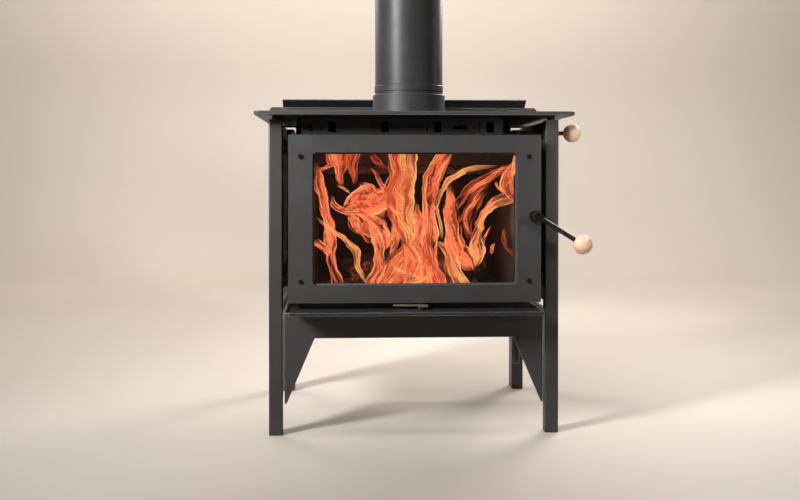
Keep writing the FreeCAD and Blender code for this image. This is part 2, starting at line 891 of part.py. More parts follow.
def flue_collar():
    body = new_body("collar_turning", "0", FLUE_Y, "0")
    sketch = new_sketch(body, "XZ_Plane")
    inner = "FlueRadius + FlueFit"
    flange = f"{COLLAR_RADIUS} + CollarFlange"
    outline(sketch, [
        ("CollarHole", "BoxTop"),
        (flange, "BoxTop"),
        (flange, "BoxTop + CollarFlangeThick"),
        (COLLAR_RADIUS, "BoxTop + CollarFlangeThick"),
        (COLLAR_RADIUS, "CollarTop"),
        (inner, "CollarTop"),
        (inner, "CollarSeat"),
        ("CollarHole", "CollarSeat"),
    ])
    revolve(body, sketch)
    top = value_of("CollarTop")
    outside = value_of(COLLAR_RADIUS) - 0.1

    def rim(edge):
        box = edge.BoundBox
        return abs(box.ZMin - top) < 0.01 and abs(box.ZMax - top) < 0.01 and box.XMax > outside

    fillet(body, "CollarWall / 3", rim)
    bolts = collar_bolts("collar_bolt_hole", "BoxTop - RoofThick", "3 * RoofThick")
    node(cut("flue_collar", body, *bolts), "flue_collar")


def collar_bolts(name, low, length, radius="CollarBoltRadius"):
    circle = f"({COLLAR_RADIUS} + CollarFlange / 2)"
    diagonal = f"({circle} * sqrt(2) / 2)"
    pieces = []
    for across, back in ((-1, -1), (1, -1), (1, 1), (-1, 1)):
        start = (f"{across} * {diagonal}", f"{FLUE_Y} + {back} * {diagonal}", low)
        pieces.append(cylinder(f"{name}_{len(pieces)}", "Z", radius, start, length))
    return pieces


def collar_fasteners():
    shank = collar_bolts("collar_bolt", ROOF_UNDER, "RoofThick + CollarFlangeThick")
    top = "BoxTop + CollarFlangeThick"
    heads = collar_bolts("collar_bolt_head", top, "CollarBoltRadius", "5 * CollarBoltRadius / 3")
    bolts = [fuse(f"collar_bolt_{i}", pair[0], pair[1]) for i, pair in enumerate(zip(shank, heads))]
    node(group("collar_bolts", bolts), "collar_bolts")


def flue_pipe():
    """First length of pipe, with a raised bead just above the collar."""
    body = new_body("flue_pipe", "0", FLUE_Y, "0")
    sketch = new_sketch(body, "XZ_Plane")
    low = "CollarTop + BeadBottom"
    high = f"{low} + BeadHeight"
    proud = "FlueRadius + BeadProud"
    outline(sketch, [
        ("FlueRadius - FlueWall", "CollarSeat"),
        ("FlueRadius", "CollarSeat"),
        ("FlueRadius", low),
        (proud, f"{low} + BeadProud"),
        (proud, f"{high} - BeadProud"),
        ("FlueRadius", high),
        ("FlueRadius", "FlueTop"),
        ("FlueRadius - FlueWall", "FlueTop"),
    ])
    revolve(body, sketch)
    node(body, "flue_pipe")


# Door --------------------------------------------------------------------------------------------


def door_plate():
    body = new_body("door_plate", "0", DOOR_BACK, DOOR_MIDDLE)
    sketch = new_sketch(body, "XZ_Plane")
    rectangle(sketch, DOOR_HALF, "DoorHeight / 2")
    rectangle(sketch, WINDOW_HALF, WINDOW_HALF_HIGH)
    hole(sketch, HANDLE_X, f"HandleHeight - {DOOR_MIDDLE}", "SpindleRadius + SpindleClearance")
    for x, z in screw_places():
        hole(sketch, x, z, "DoorScrewRadius")
    pad(body, sketch, "DoorThick")
    half = value_of(WINDOW_HALF) + 1

    def window_corner(edge):
        return runs_along(edge, 1) and abs(edge.CenterOfMass[0]) < half

    fillet(body, "WindowCorner", window_corner)
    fillet(body, "DoorCorner", lambda edge: runs_along(edge, 1) and abs(edge.CenterOfMass[0]) > 1.1 * half)
    node(body, "door_plate")


def screw_places():
    """The four door screws, from the middle of the door."""
    x = f"({DOOR_HALF} - DoorScrewInset)"
    z = "(DoorHeight / 2 - DoorScrewInsetHigh)"
    return [(f"-{x}", f"-{z}"), (x, f"-{z}"), (x, z), (f"-{x}", z)]


def door_inner_frame():
    """Clamps the glass on its front side and carries the rope seal in a groove on its back."""
    body = new_body("door_inner_frame", "0", FRAME_BACK, DOOR_MIDDLE)
    half = f"{DOOR_HALF} - InnerFrameMargin"
    half_high = "DoorHeight / 2 - InnerFrameMarginHigh"
    sketch = new_sketch(body, "XZ_Plane")
    rectangle(sketch, half, half_high)
    rectangle(sketch, f"{WINDOW_HALF} + InnerFrameLip", f"{WINDOW_HALF_HIGH} + InnerFrameLip")
    for x, z in screw_places():
        hole(sketch, x, z, "DoorScrewRadius")
    pad(body, sketch, "InnerFrameDepth")
    groove = new_sketch(body, "XZ_Plane")
    rectangle(groove, f"{half} - RopeWall", f"{half_high} - RopeWall")
    rectangle(groove, f"{half} - RopeWall - RopeWidth", f"{half_high} - RopeWall - RopeWidth")
    pocket(body, groove, "RopeDepth", backwards=True)
    rebate = new_sketch(body, "XZ_Plane", "InnerFrameDepth")
    rectangle(rebate, f"{GLASS_HALF} + GlassClearance", f"{GLASS_HALF_HIGH} + GlassClearance")
    pocket(body, rebate, "GlassThick + GasketThick")
    node(body, "door_inner_frame")


def rope_seal():
    body = new_body("door_rope_seal", "0", f"{FRAME_BACK} + RopeProud", DOOR_MIDDLE)
    half = f"{DOOR_HALF} - InnerFrameMargin - RopeWall"
    half_high = "DoorHeight / 2 - InnerFrameMarginHigh - RopeWall"
    sketch = new_sketch(body, "XZ_Plane")
    rectangle(sketch, half, half_high)
    rectangle(sketch, f"{half} - RopeWidth", f"{half_high} - RopeWidth")
    pad(body, sketch, "RopeDepth + RopeProud")
    node(body, "door_rope_seal")


def door_glass():
    pane = block(
        "glass_pane",
        (f"-{GLASS_HALF}", GLASS_HALF),
        (f"{DOOR_BACK} + GasketThick", f"{DOOR_BACK} + GasketThick + GlassThick"),
        (f"{DOOR_MIDDLE} - {GLASS_HALF_HIGH}", f"{DOOR_MIDDLE} + {GLASS_HALF_HIGH}"),
    )
    node(pane, "door_glass")


def glass_gasket():
    body = new_body("glass_gasket", "0", f"{DOOR_BACK} + GasketThick", DOOR_MIDDLE)
    sketch = new_sketch(body, "XZ_Plane")
    rectangle(sketch, GLASS_HALF, GLASS_HALF_HIGH)
    rectangle(sketch, f"{GLASS_HALF} - GasketWidth", f"{GLASS_HALF_HIGH} - GasketWidth")
    pad(body, sketch, "GasketThick")
    inner = value_of(WINDOW_HALF)
    fillet(body, "GasketCorner", lambda edge: runs_along(edge, 1) and abs(edge.CenterOfMass[0]) < inner)
    node(body, "glass_gasket")


def door_screws():
    """Button-head screws with a hexagon socket, through the plate into the inner frame."""
    screws = []
    shank_length = "DoorThick + InnerFrameDepth - 2 * DoorScrewRadius / 3"
    for index, (x, z) in enumerate(screw_places()):
        height = f"{DOOR_MIDDLE} + {z}"
        name = f"door_screw_{index}"
        shank = cylinder(f"{name}_shank", "Y", "DoorScrewRadius", (x, DOOR_FRONT, height), shank_length)
        front = f"{DOOR_FRONT} - DoorScrewHeadHigh"
        head = cylinder(f"{name}_head", "Y", "DoorScrewHead", (x, front, height), "DoorScrewHeadHigh")
        socket = cylinder(
            f"{name}_socket",
            "Y",
            "DoorScrewSocket",
            (x, f"{front} - 1", height),
            "1 + DoorScrewHeadHigh * 2 / 3",
            sides=6,
        )
        screws.append(cut(name, fuse(name, shank, head), socket))
    node(group("door_screws", screws), "door_screws")


# Hinges ------------------------------------------------------------------------------------------

LUG_RADIUS = "(HingePinRadius + HingeLugWall)"


def hinge_levels():
    return (("upper", "UpperLugHeight", "UpperPinTop"), ("lower", "LowerLugHeight", "LowerPinTop"))


def pin_hole(name, radius, low):
    return cylinder(name, "Z", radius, (HINGE_X, HINGE_Y, f"{low} - HingeLugHigh"), "3 * HingeLugHigh")


def hinge_brackets():
    """Fixed lugs: an eye for the pin and a strap welded along the firebox side."""
    lugs = []
    strap_x = (HINGE_X, f"-{BOX_HALF}")
    for level, low, _ in hinge_levels():
        eye = cylinder(
            f"{level}_eye", "Z", f"{LUG_RADIUS} + HingeClearance", (HINGE_X, HINGE_Y, low), "HingeLugHigh"
        )
        strap = block(
            f"{level}_strap", strap_x, (HINGE_Y, f"{HINGE_Y} + HingeStrap"), (low, f"{low} + HingeLugHigh")
        )
        whole = fuse(f"{level}_bracket", eye, strap)
        lugs.append(
            cut(f"{level}_bracket", whole, pin_hole(f"{level}_bracket_hole", "HingePinRadius", low))
        )
    node(group("hinge_brackets", lugs), "hinge_brackets")


def door_hinge_lugs():
    """Moving lugs: an eye with running clearance, welded to the back of the door plate."""
    lugs = []
    for level, fixed_low, _ in hinge_levels():
        low = f"({fixed_low} + HingeLugHigh + HingeLift)"
        eye = cylinder(f"{level}_door_eye", "Z", LUG_RADIUS, (HINGE_X, HINGE_Y, low), "HingeLugHigh")
        web = block(
            f"{level}_door_web",
            (f"{HINGE_X} - {LUG_RADIUS}", f"{HINGE_X} + {LUG_RADIUS}"),
            (DOOR_BACK, HINGE_Y),
            (low, f"{low} + HingeLugHigh"),
        )
        whole = fuse(f"{level}_door_lug", eye, web)
        bore = pin_hole(f"{level}_door_hole", "HingePinRadius + HingeClearance", low)
        lugs.append(cut(f"{level}_door_lug", whole, bore))
    node(group("door_hinge_lugs", lugs), "door_hinge_lugs")


def hinge_pins():
    pins = []
    for level, low, top in hinge_levels():
        start = f"({low} - HingeLift)"
        pins.append(
            cylinder(f"{level}_pin", "Z", "HingePinRadius", (HINGE_X, HINGE_Y, start), f"{top} - {start}")
        )
    node(group("hinge_pins", pins), "hinge_pins")


# Door handle and latch ---------------------------------------------------------------------------


def handle_bush():
    start = (HANDLE_X, f"{DOOR_FRONT} - BushLength", "HandleHeight")
    outer = cylinder("bush_outer", "Y", "BushRadius", start, "BushLength")
    bore = cylinder("bush_bore", "Y", "SpindleRadius + SpindleClearance", start, "BushLength")
    node(cut("bush", outer, bore), "handle_bush")


def rod_frame(name, length, radius):
    """A bar from the hub's axis along the handle's slope, which points down to the right."""
    bar = doc.addObject("Part::Cylinder", name)
    tilt = FreeCAD.Rotation(FreeCAD.Vector(0, 1, 0), 90)
    bar.Placement = FreeCAD.Placement(FreeCAD.Vector(), tilt)
    bar.Placement.Rotation.Axis = FreeCAD.Vector(0, 1, 0)
    bind(bar, "Placement.Rotation.Angle", "90 + HandleAngle")
    bind(bar, "Radius", radius)
    bind(bar, "Height", length)
    place(bar, HANDLE_X, f"{HUB_FRONT} + HandleRodSetback", "HandleHeight")
    return bar


def handle_spindle():
    """Hub in front of the bush, and the spindle that runs back through the door."""
    cam_back = f"({DOOR_BACK} + CamGap + CamThick)"
    hub = cylinder("hub", "Y", "HubRadius", (HANDLE_X, HUB_FRONT, "HandleHeight"), "HubLength")
    length = f"{cam_back} + NutThick - {HUB_FRONT}"
    shaft = cylinder("shaft", "Y", "SpindleRadius", (HANDLE_X, HUB_FRONT, "HandleHeight"), length)
    socket = rod_frame("hub_socket", "2 * HubRadius", "HandleRodRadius")
    node(cut("handle_spindle", fuse("handle_spindle", hub, shaft), socket), "handle_spindle")


def handle_rod():
    bar = rod_frame("handle_bar", "HandleReach - HandleBall + BallBore", "HandleRodRadius")
    node(bar, "handle_rod")


def ball(name, x, y, z, radius, bore):
    """A wooden ball, pushed on to its rod."""
    sphere = doc.addObject("Part::Sphere", name)
    bind(sphere, "Radius", radius)
    place(sphere, x, y, z)
    return cut(name, sphere, bore)


def handle_ball():
    bore = rod_frame("handle_ball_bore", "HandleReach - HandleBall + BallBore", "HandleRodRadius + BallFit")
    x = f"{HANDLE_X} + HandleReach * cos(HandleAngle * 1deg)"
    z = "HandleHeight - HandleReach * sin(HandleAngle * 1deg)"
    y = f"{HUB_FRONT} + HandleRodSetback"
    node(ball("handle_sphere", x, y, z, "HandleBall", bore), "handle_ball")


def latch_cam():
    """Disc with a finger that hangs down behind the keeper when the door is shut."""
    front = f"({DOOR_BACK} + CamGap)"
    disc = cylinder("cam_disc", "Y", "CamRadius", (HANDLE_X, front, "HandleHeight"), "CamThick")
    finger = block(
        "cam_finger",
        (f"{HANDLE_X} - CamFingerWidth / 2", f"{HANDLE_X} + CamFingerWidth / 2"),
        (front, f"{front} + CamThick"),
        ("HandleHeight - CamFinger", "HandleHeight"),
    )
    bore = cylinder("cam_bore", "Y", "SpindleRadius", (HANDLE_X, front, "HandleHeight"), "CamThick")
    node(cut("latch_cam", fuse("latch_cam", disc, finger), bore), "latch_cam")


def spindle_nut():
    start = (HANDLE_X, f"{DOOR_BACK} + CamGap + CamThick", "HandleHeight")
    body = cylinder("nut_body", "Y", "NutRadius", start, "NutThick", sides=6)
    bore = cylinder("nut_bore", "Y", "SpindleRadius", start, "NutThick")
    node(cut("spindle_nut", body, bore), "spindle_nut")


def latch_keeper():
    """Catch welded to the firebox side, in front of the cam's finger and just below its tip."""
    top = "(HandleHeight - CamFinger - KeeperGap)"
    low = f"({top} - KeeperHigh)"
    front = f"({FRONT} - KeeperFront)"
    catch = block(
        "catch", (BOX_HALF, f"{BOX_HALF} + KeeperReach"), (front, f"{front} + KeeperThick"), (low, top)
    )
    arm = block(
        "catch_arm", (BOX_HALF, f"{BOX_HALF} + KeeperThick"), (front, f"{FRONT} + LipBack"), (low, top)
    )
    node(fuse("latch_keeper", catch, arm), "latch_keeper")


# Upper air control -------------------------------------------------------------------------------


def window_middle(index):
    return f"(FirstWindow + {index} * WindowPitch)"


def air_window(name, index, y, deep, low, width="AirWindowWidth", shift="0"):
    middle = f"({window_middle(index)} - {shift})"
    return block(
        name,
        (f"{middle} - {width} / 2", f"{middle} + {width} / 2"),
        (f"{y} - {deep}", f"{y} + 2 * {deep}"),
        (low, f"{low} + AirWindowHigh"),
    )


def screw_slot(name, x, start, length):
    """Slot with round ends for a shoulder screw, from start on its left to start + length."""
    radius = "(AirScrewRadius + AirScrewFit)"
    height = "(BoxTop + AirScrewLift)"
    y = f"({SLIDE_FRONT} - SlideThick)"
    deep = "3 * SlideThick"
    ends = []
    for end, along in (("a", start), ("b", f"{start} + {length}")):
        ends.append(cylinder(f"{name}_{end}", "Y", radius, (f"{x} + {along}", y, height), deep))
    middle = block(
        f"{name}_middle",
        (f"{x} + {start}", f"{x} + {start} + {length}"),
        (y, f"{y} + {deep}"),
        (f"{height} - {radius}", f"{height} + {radius}"),
    )
    return fuse(name, *ends, middle)


def air_slide_plate():
    low = "(BoxTop + SlideLift)"
    plate = block(
        "slide_blank",
        ("-SlideLeft", "SlideRight"),
        (SLIDE_FRONT, f"{SLIDE_FRONT} + SlideThick"),
        (low, f"{low} + SlideHigh"),
    )
    tools = []
    for index in range(4):
        tools.append(
            air_window(f"slide_window_{index}", index, SLIDE_FRONT, "SlideThick", "BoxTop + AirWindowLift")
        )
        tools.append(
            air_window(
                f"slide_slot_{index}",
                index,
                SLIDE_FRONT,
                "SlideThick",
                "BoxTop + AirWindowLift",
                "AirSlotWidth",
                "AirSlotOffset",
            )
        )
    for name, x in (("left_slot", "LeftAirScrew"), ("right_slot", "RightAirScrew")):
        tools.append(screw_slot(name, x, "-(SlideTravel + SlotSlack)", "SlideTravel + 2 * SlotSlack"))
    tab_low = "(AirRodHeight - LockNutRadius)"
    tab = block(
        "slide_tab",
        ("SlideRight - AirTabWidth", "SlideRight"),
        (SLIDE_FRONT, f"{AIR_ROD_Y} + LockNutRadius"),
        ("BoxTop + SlideLift", "AirRodHeight + LockNutRadius"),
    )
    tools.append(cylinder(
        "tab_hole",
        "X",
        "AirRodRadius",
        ("SlideRight - 2 * AirTabWidth", AIR_ROD_Y, "AirRodHeight"),
        "3 * AirTabWidth",
    ))
    node(cut("air_slide", fuse("air_slide", plate, tab), *tools), "air_slide_plate")


def air_box():
    """Channel on the firebox roof behind the slide, with windows that the slide covers or frees."""
    front = AIR_BOX_FRONT
    face = block(
        "air_box_face",
        ("-AirBoxLeft", "AirBoxRight"),
        (front, f"{front} + AirBoxWall"),
        ("BoxTop", TOP_UNDER),
    )
    rear = block(
        "air_box_rear",
        ("-AirBoxLeft", "AirBoxRight"),
        (f"{front} + AirBoxDepth", f"{front} + AirBoxDepth + AirBoxWall"),
        ("BoxTop", TOP_UNDER),
    )
    ends = []
    for name, x in (
        ("left", ("-AirBoxLeft", "AirBoxWall - AirBoxLeft")),
        ("right", ("AirBoxRight - AirBoxWall", "AirBoxRight")),
    ):
        ends.append(
            block(
                f"air_box_{name}", x, (front, f"{front} + AirBoxDepth + AirBoxWall"), ("BoxTop", TOP_UNDER)
            )
        )
    tools = []
    for index in range(4):
        tools.append(
            air_window(f"box_window_{index}", index, front, "AirBoxWall", "BoxTop + AirWindowLift")
        )
    for name, x in (("left", "LeftAirScrew"), ("right", "RightAirScrew")):
        start = (x, f"{front} - AirBoxWall", "BoxTop + AirScrewLift")
        tools.append(cylinder(f"box_screw_hole_{name}", "Y", "AirScrewRadius", start, "3 * AirBoxWall"))
    node(cut("air_box", fuse("air_box", face, rear, *ends), *tools), "air_box")


def air_shoulder_screws():
    screws = []
    height = "BoxTop + AirScrewLift"
    for name, x in (("left", "LeftAirScrew"), ("right", "RightAirScrew")):
        front = f"({SLIDE_FRONT} - SlideGap)"
        shoulder = cylinder(
            f"{name}_shoulder",
            "Y",
            "AirScrewRadius",
            (x, front, height),
            "2 * SlideGap + SlideThick + AirBoxWall",
        )
        start = (x, f"{front} - AirScrewHeadHigh", height)
        head = cylinder(f"{name}_screw_head", "Y", "AirScrewHead", start, "AirScrewHeadHigh")
        socket = cylinder(
            f"{name}_screw_socket",
            "Y",
            "AirScrewHead / 2",
            (x, f"{front} - 2 * AirScrewHeadHigh", height),
            "AirScrewHeadHigh + AirScrewSocket",
            sides=6,
        )
        screws.append(cut(f"{name}_air_screw", fuse(f"{name}_air_screw", shoulder, head), socket))
    node(group("air_shoulder_screws", screws), "air_shoulder_screws")


def air_rod():
    start = ("SlideRight - AirTabWidth", AIR_ROD_Y, "AirRodHeight")
    length = f"{AIR_BALL_X} - AirBall + BallBore - SlideRight + AirTabWidth"
    bar = cylinder("air_bar", "X", "AirRodRadius", start, length)
    node(bar, "air_rod")


def air_lock_nut():
    start = ("SlideRight", AIR_ROD_Y, "AirRodHeight")
    blank = cylinder("lock_nut_blank", "X", "LockNutRadius", start, "LockNutThick", sides=6)
    bore = cylinder("lock_nut_bore", "X", "AirRodRadius", start, "LockNutThick")
    node(cut("lock_nut", blank, bore), "air_rod_nut")


def air_ball():
    start = (f"{AIR_BALL_X} - 2 * AirBall", AIR_ROD_Y, "AirRodHeight")
    bore = cylinder("air_ball_bore", "X", "AirRodRadius + BallFit", start, "AirBall + BallBore")
    node(ball("air_sphere", AIR_BALL_X, AIR_ROD_Y, "AirRodHeight", "AirBall", bore), "air_ball")


def air_rod_guide():
    """Bush in the right side panel, with a flange on the inside."""
    inner = f"({POST_INNER} - RailInset + RailSize)"
    sleeve_start = (inner, AIR_ROD_Y, "AirRodHeight")
    sleeve = cylinder("guide_sleeve", "X", "AirRodRadius + GuideWall", sleeve_start, "PanelThick")
    flange_start = (f"{inner} - GuideLength + PanelThick", AIR_ROD_Y, "AirRodHeight")
    flange = cylinder(
        "guide_flange", "X", "AirRodRadius + 2 * GuideWall", flange_start, "GuideLength - PanelThick"
    )
    bore_start = (f"{inner} - GuideLength", AIR_ROD_Y, "AirRodHeight")
    bore = cylinder("guide_bore", "X", "AirRodRadius + GuideFit", bore_start, "3 * GuideLength")
    node(cut("air_rod_guide", fuse("air_rod_guide", sleeve, flange), bore), "air_rod_guide")


# Primary air lever -------------------------------------------------------------------------------


def boost_lever():
    """Flat lever: a tail over the air port on the left, and a finger tab that comes forward on the right."""
    low = "(BoxBottom + LeverLift)"
    body = new_body("boost_lever", "LeverPivot", LEVER_Y, low)
    sketch = new_sketch(body, "XY_Plane")
    outline(sketch, [
        ("-LeverTail", "-LeverBoss - LeverTipWidth"),
        ("0", "-LeverTabReach + LeverTab"),
        ("0", "-LeverTabReach"),
        ("LeverTab", "-LeverTabReach"),
        ("LeverTab", "-LeverBoss"),
        ("LeverBoss", "LeverBoss / 2"),
        ("LeverBoss / 2", "LeverBoss"),
        ("-LeverBoss / 2", "LeverBoss"),
        ("-LeverTail", "-LeverBoss"),
    ])
    hole(sketch, "0", "0", "LeverPinRadius + LeverPinFit")
    pad(body, sketch, "LeverThick")
    node(body, "boost_lever")


def boost_pivot():
    """Shouldered pin in the ash lip, with a clip that keeps the lever on."""
    start = ("LeverPivot", LEVER_Y, "BoxBottom - LipThick")
    gap = "HingeLift"
    top = "(BoxBottom + LeverLift + LeverThick)"
    core = cylinder("pivot_core", "Z", "LeverPinRadius", start, f"{top} + {gap} - BoxBottom + LipThick")
    shoulder = cylinder(
        "pivot_shoulder",
        "Z",
        "LeverBoss - LeverClipThick",
        ("LeverPivot", LEVER_Y, "BoxBottom"),
        f"LeverLift - {gap}",
    )
    clip = cylinder(
        "pivot_clip", "Z", "LeverClip", ("LeverPivot", LEVER_Y, f"{top} + {gap}"), "LeverClipThick"
    )
    node(fuse("boost_pivot", core, shoulder, clip), "boost_pivot")


# Build -------------------------------------------------------------------------------------------


def build():
    for piece in (
        posts, rails, side_panels, top_plate, spacers, heat_deflector, rear_heat_shield, skirts,
        bottom_heat_shield, ash_lip, firebox_shell, firebox_front, firebox_roof, firebricks, air_tubes,
        baffle, airwash_channel, flue_collar, collar_fasteners, flue_pipe, door_plate, door_inner_frame,
        rope_seal, door_glass, glass_gasket, door_screws, hinge_brackets, door_hinge_lugs, hinge_pins,
        handle_bush, handle_spindle, handle_rod, handle_ball, latch_cam, spindle_nut, latch_keeper,
        air_slide_plate, air_box, air_shoulder_screws, air_rod, air_lock_nut, air_ball, air_rod_guide,
        boost_lever, boost_pivot,
    ):
        piece()
    doc.recompute()


def check():
    for item in doc.Objects:
        if "Invalid" in item.State or "Error" in item.State:
            raise RuntimeError(f"{item.Label} did not compute: {item.State}")
    for item in NODES:
        shape = item.Shape
        if shape.isNull() or not shape.isValid() or not shape.Solids:
            raise RuntimeError(f"{item.Label} has no valid solid")


def write():
    os.makedirs("parts", exist_ok=True)
    for item in NODES:
        item.Shape.exportStep(f"parts/{item.Label}.step")
        box = item.Shape.BoundBox
        size = f"{box.XLength:.1f} x {box.YLength:.1f} x {box.ZLength:.1f}"
        print(f"{item.Label}: {len(item.Shape.Solids)} solids, {size}")
    print(f"{len(NODES)} sub-parts")


build()
check()
write()
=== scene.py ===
import math
import random

import bmesh
import bpy
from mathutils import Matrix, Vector


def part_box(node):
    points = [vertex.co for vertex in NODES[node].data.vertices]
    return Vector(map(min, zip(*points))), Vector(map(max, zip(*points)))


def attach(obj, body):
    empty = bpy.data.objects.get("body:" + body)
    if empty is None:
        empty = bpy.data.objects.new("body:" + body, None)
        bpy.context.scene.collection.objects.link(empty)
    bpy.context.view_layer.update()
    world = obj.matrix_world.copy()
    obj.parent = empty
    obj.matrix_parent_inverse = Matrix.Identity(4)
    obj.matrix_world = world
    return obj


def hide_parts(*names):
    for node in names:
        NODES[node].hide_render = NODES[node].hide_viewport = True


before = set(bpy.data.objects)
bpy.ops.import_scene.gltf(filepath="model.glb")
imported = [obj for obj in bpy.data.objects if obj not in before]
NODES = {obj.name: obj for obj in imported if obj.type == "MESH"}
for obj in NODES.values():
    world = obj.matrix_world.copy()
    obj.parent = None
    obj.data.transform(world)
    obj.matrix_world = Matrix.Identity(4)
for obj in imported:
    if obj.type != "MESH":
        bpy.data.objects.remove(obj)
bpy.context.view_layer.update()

bl_info = {
    "name": "Wood Burning Stove",
    "version": (1, 0, 0),
    "blender": (4, 5, 0),
    "location": "View3D > Sidebar > Stove",
    "description": "Finishes, fire and stage for a free-standing wood burning stove",
    "category": "Add Mesh",
}

MM = 0.001


def middle_of(node):
    low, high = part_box(node)
    return (low + high) / 2


POST_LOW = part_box("front_post_left")[0]
CENTRE_X = (POST_LOW.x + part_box("front_post_right")[1].x) / 2
FRONT_Y = POST_LOW.y
GLASS_BACK_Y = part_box("door_glass")[1].y
FLOOR_BRICK_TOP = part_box("floor_bricks")[1].z
ROPE_LOW, ROPE_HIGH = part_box("door_rope_seal")


# Sizes and colours a user would change -----------------------------------------------------------


def colour_property(name, description, default):
    return bpy.props.FloatVectorProperty(
        name=name, description=description, default=default, size=3, min=0, max=1, subtype="COLOR"
    )


def share_property(name, description, default):
    return bpy.props.FloatProperty(
        name=name, description=description, default=default, min=0, max=1, subtype="FACTOR"
    )


def length_property(name, description, default):
    return bpy.props.FloatProperty(
        name=name, description=description, default=default, min=0, subtype="DISTANCE", unit="LENGTH"
    )


class StoveFinish(bpy.types.PropertyGroup):
    """Colours and gloss of the stove's materials."""

    paint: colour_property("Paint", "Satin heat-resistant paint on the sheet steel", (0.034, 0.034, 0.034))
    # Edge paint: a paler colour on the rounded edges, a painted highlight along them.
    edge_highlight: colour_property("Edge paint", "Thinner, polished paint along the edges", (0.17, 0.165, 0.16))
    paint_gloss: share_property("Paint roughness", "Roughness of the satin paint", 0.46)
    flue: colour_property("Flue paint", "Smoother paint on the flue pipe", (0.024, 0.024, 0.0245))
    flue_gloss: share_property("Flue roughness", "Roughness of the flue paint", 0.38)
    black_steel: colour_property("Blackened steel", "Screws, rods and the handle hub", (0.012, 0.012, 0.012))
    bare_steel: colour_property("Bare steel", "Heat-browned steel of lever and pivot", (0.36, 0.33, 0.29))
    wood_light: colour_property("Wood, early growth", "Paler wood of the turned balls", (0.78, 0.535, 0.37))
    wood_dark: colour_property("Wood, late growth", "Darker lines in the turned balls", (0.60, 0.38, 0.235))
    brick: colour_property("Firebrick", "Clean firebrick", (0.30, 0.24, 0.19))
    soot: colour_property("Soot", "Soot on the bricks and steel of the firebox", (0.075, 0.062, 0.054))
    glass: colour_property("Glass", "Tint of the stove glass", (0.93, 0.92, 0.90))
    rope: colour_property("Seal rope", "Graphite-coated glass fibre", (0.055, 0.054, 0.052))
    edge_round: length_property("Sheet edge", "Rounding of the cut edges of the sheet steel", 0.8 * MM)
    door_round: length_property("Door edge", "Rounding of the folded edges of the door", 2.2 * MM)


class StoveFire(bpy.types.PropertyGroup):
    """The fire behind the glass."""

    rim: colour_property("Flame rim", "Brightest colour, along the edges of a flame", (1.0, 0.54, 0.21))
    body: colour_property("Flame body", "Main colour of a flame", (1.0, 0.225, 0.09))
    core: colour_property("Flame core", "Deepest colour in the middle of a flame", (0.74, 0.075, 0.033))
    ember: colour_property("Ember", "Glow of the ember bed", (1.0, 0.16, 0.03))
    depth: length_property("Fire depth", "Distance from the glass to the front flames", 60 * MM)
    seed: bpy.props.IntProperty(name="Seed", description="Order of the embers and logs", default=7)


class StoveStage(bpy.types.PropertyGroup):
    """Floor, light and camera."""

    floor: colour_property("Floor", "Plain pale floor", (0.62, 0.56, 0.505))
    sky: colour_property("Surround light", "Even light from all round", (1.0, 0.92, 0.84))
    camera_side: length_property("Camera side", "Distance of the camera left of the stove's middle", 0.130)
    camera_back: length_property("Camera distance", "Distance of the camera in front of the posts", 2.101)
    camera_height: length_property("Camera height", "Height of the camera above the floor", 0.532)


# Mesh helpers ------------------------------------------------------------------------------------


def deselect_all():
    if bpy.context.object and bpy.context.object.mode != "OBJECT":
        bpy.ops.object.mode_set(mode="OBJECT")
    bpy.ops.object.select_all(action="DESELECT")


def choose(item):
    deselect_all()
    item.select_set(True)
    bpy.context.view_layer.objects.active = item


def name_new(name):
    item = bpy.context.object
    item.name = name
    item.data.name = name
    return item


def settle(item):
    """Puts the piece's place into its mesh, so that its object sits unturned at the origin."""
    choose(item)
    bpy.ops.object.transform_apply(location=True, rotation=True, scale=True)
    return item


def apply_modifiers(item):
    choose(item)
    for modifier in list(item.modifiers):
        bpy.ops.object.modifier_apply(modifier=modifier.name)


def to_mesh(item):
    choose(item)
    bpy.ops.object.convert(target="MESH")
    return bpy.context.object


def join(pieces, name):
    deselect_all()
    for piece in pieces:
        piece.select_set(True)
    bpy.context.view_layer.objects.active = pieces[0]
    bpy.ops.object.join()
    return name_new(name)


def outward(item):
    """Merges doubles and turns every face outwards."""
    choose(item)
    bpy.ops.object.mode_set(mode="EDIT")
    bpy.ops.mesh.select_all(action="SELECT")
    bpy.ops.mesh.remove_doubles(threshold=1e-6)
    bpy.ops.mesh.normals_make_consistent(inside=False)
    bpy.ops.object.mode_set(mode="OBJECT")


def roughen(item, kind, scale, strength, way="NORMAL"):
    """Pushes the surface by a procedural cloud, in the piece's own place, along its normals or one way."""
    cloud = bpy.data.textures.new(item.name + "_cloud", kind)
    cloud.noise_scale = scale
    push = item.modifiers.new("uneven surface", "DISPLACE")
    push.texture = cloud
    push.texture_coords = "GLOBAL"
    push.strength = strength
    push.direction = way
    push.mid_level = 0.5


def dress(item, material, body):
    """Gives a new piece its material and its body."""
    item.data.materials.clear()
    item.data.materials.append(material)
    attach(item, body)


# Material helpers --------------------------------------------------------------------------------


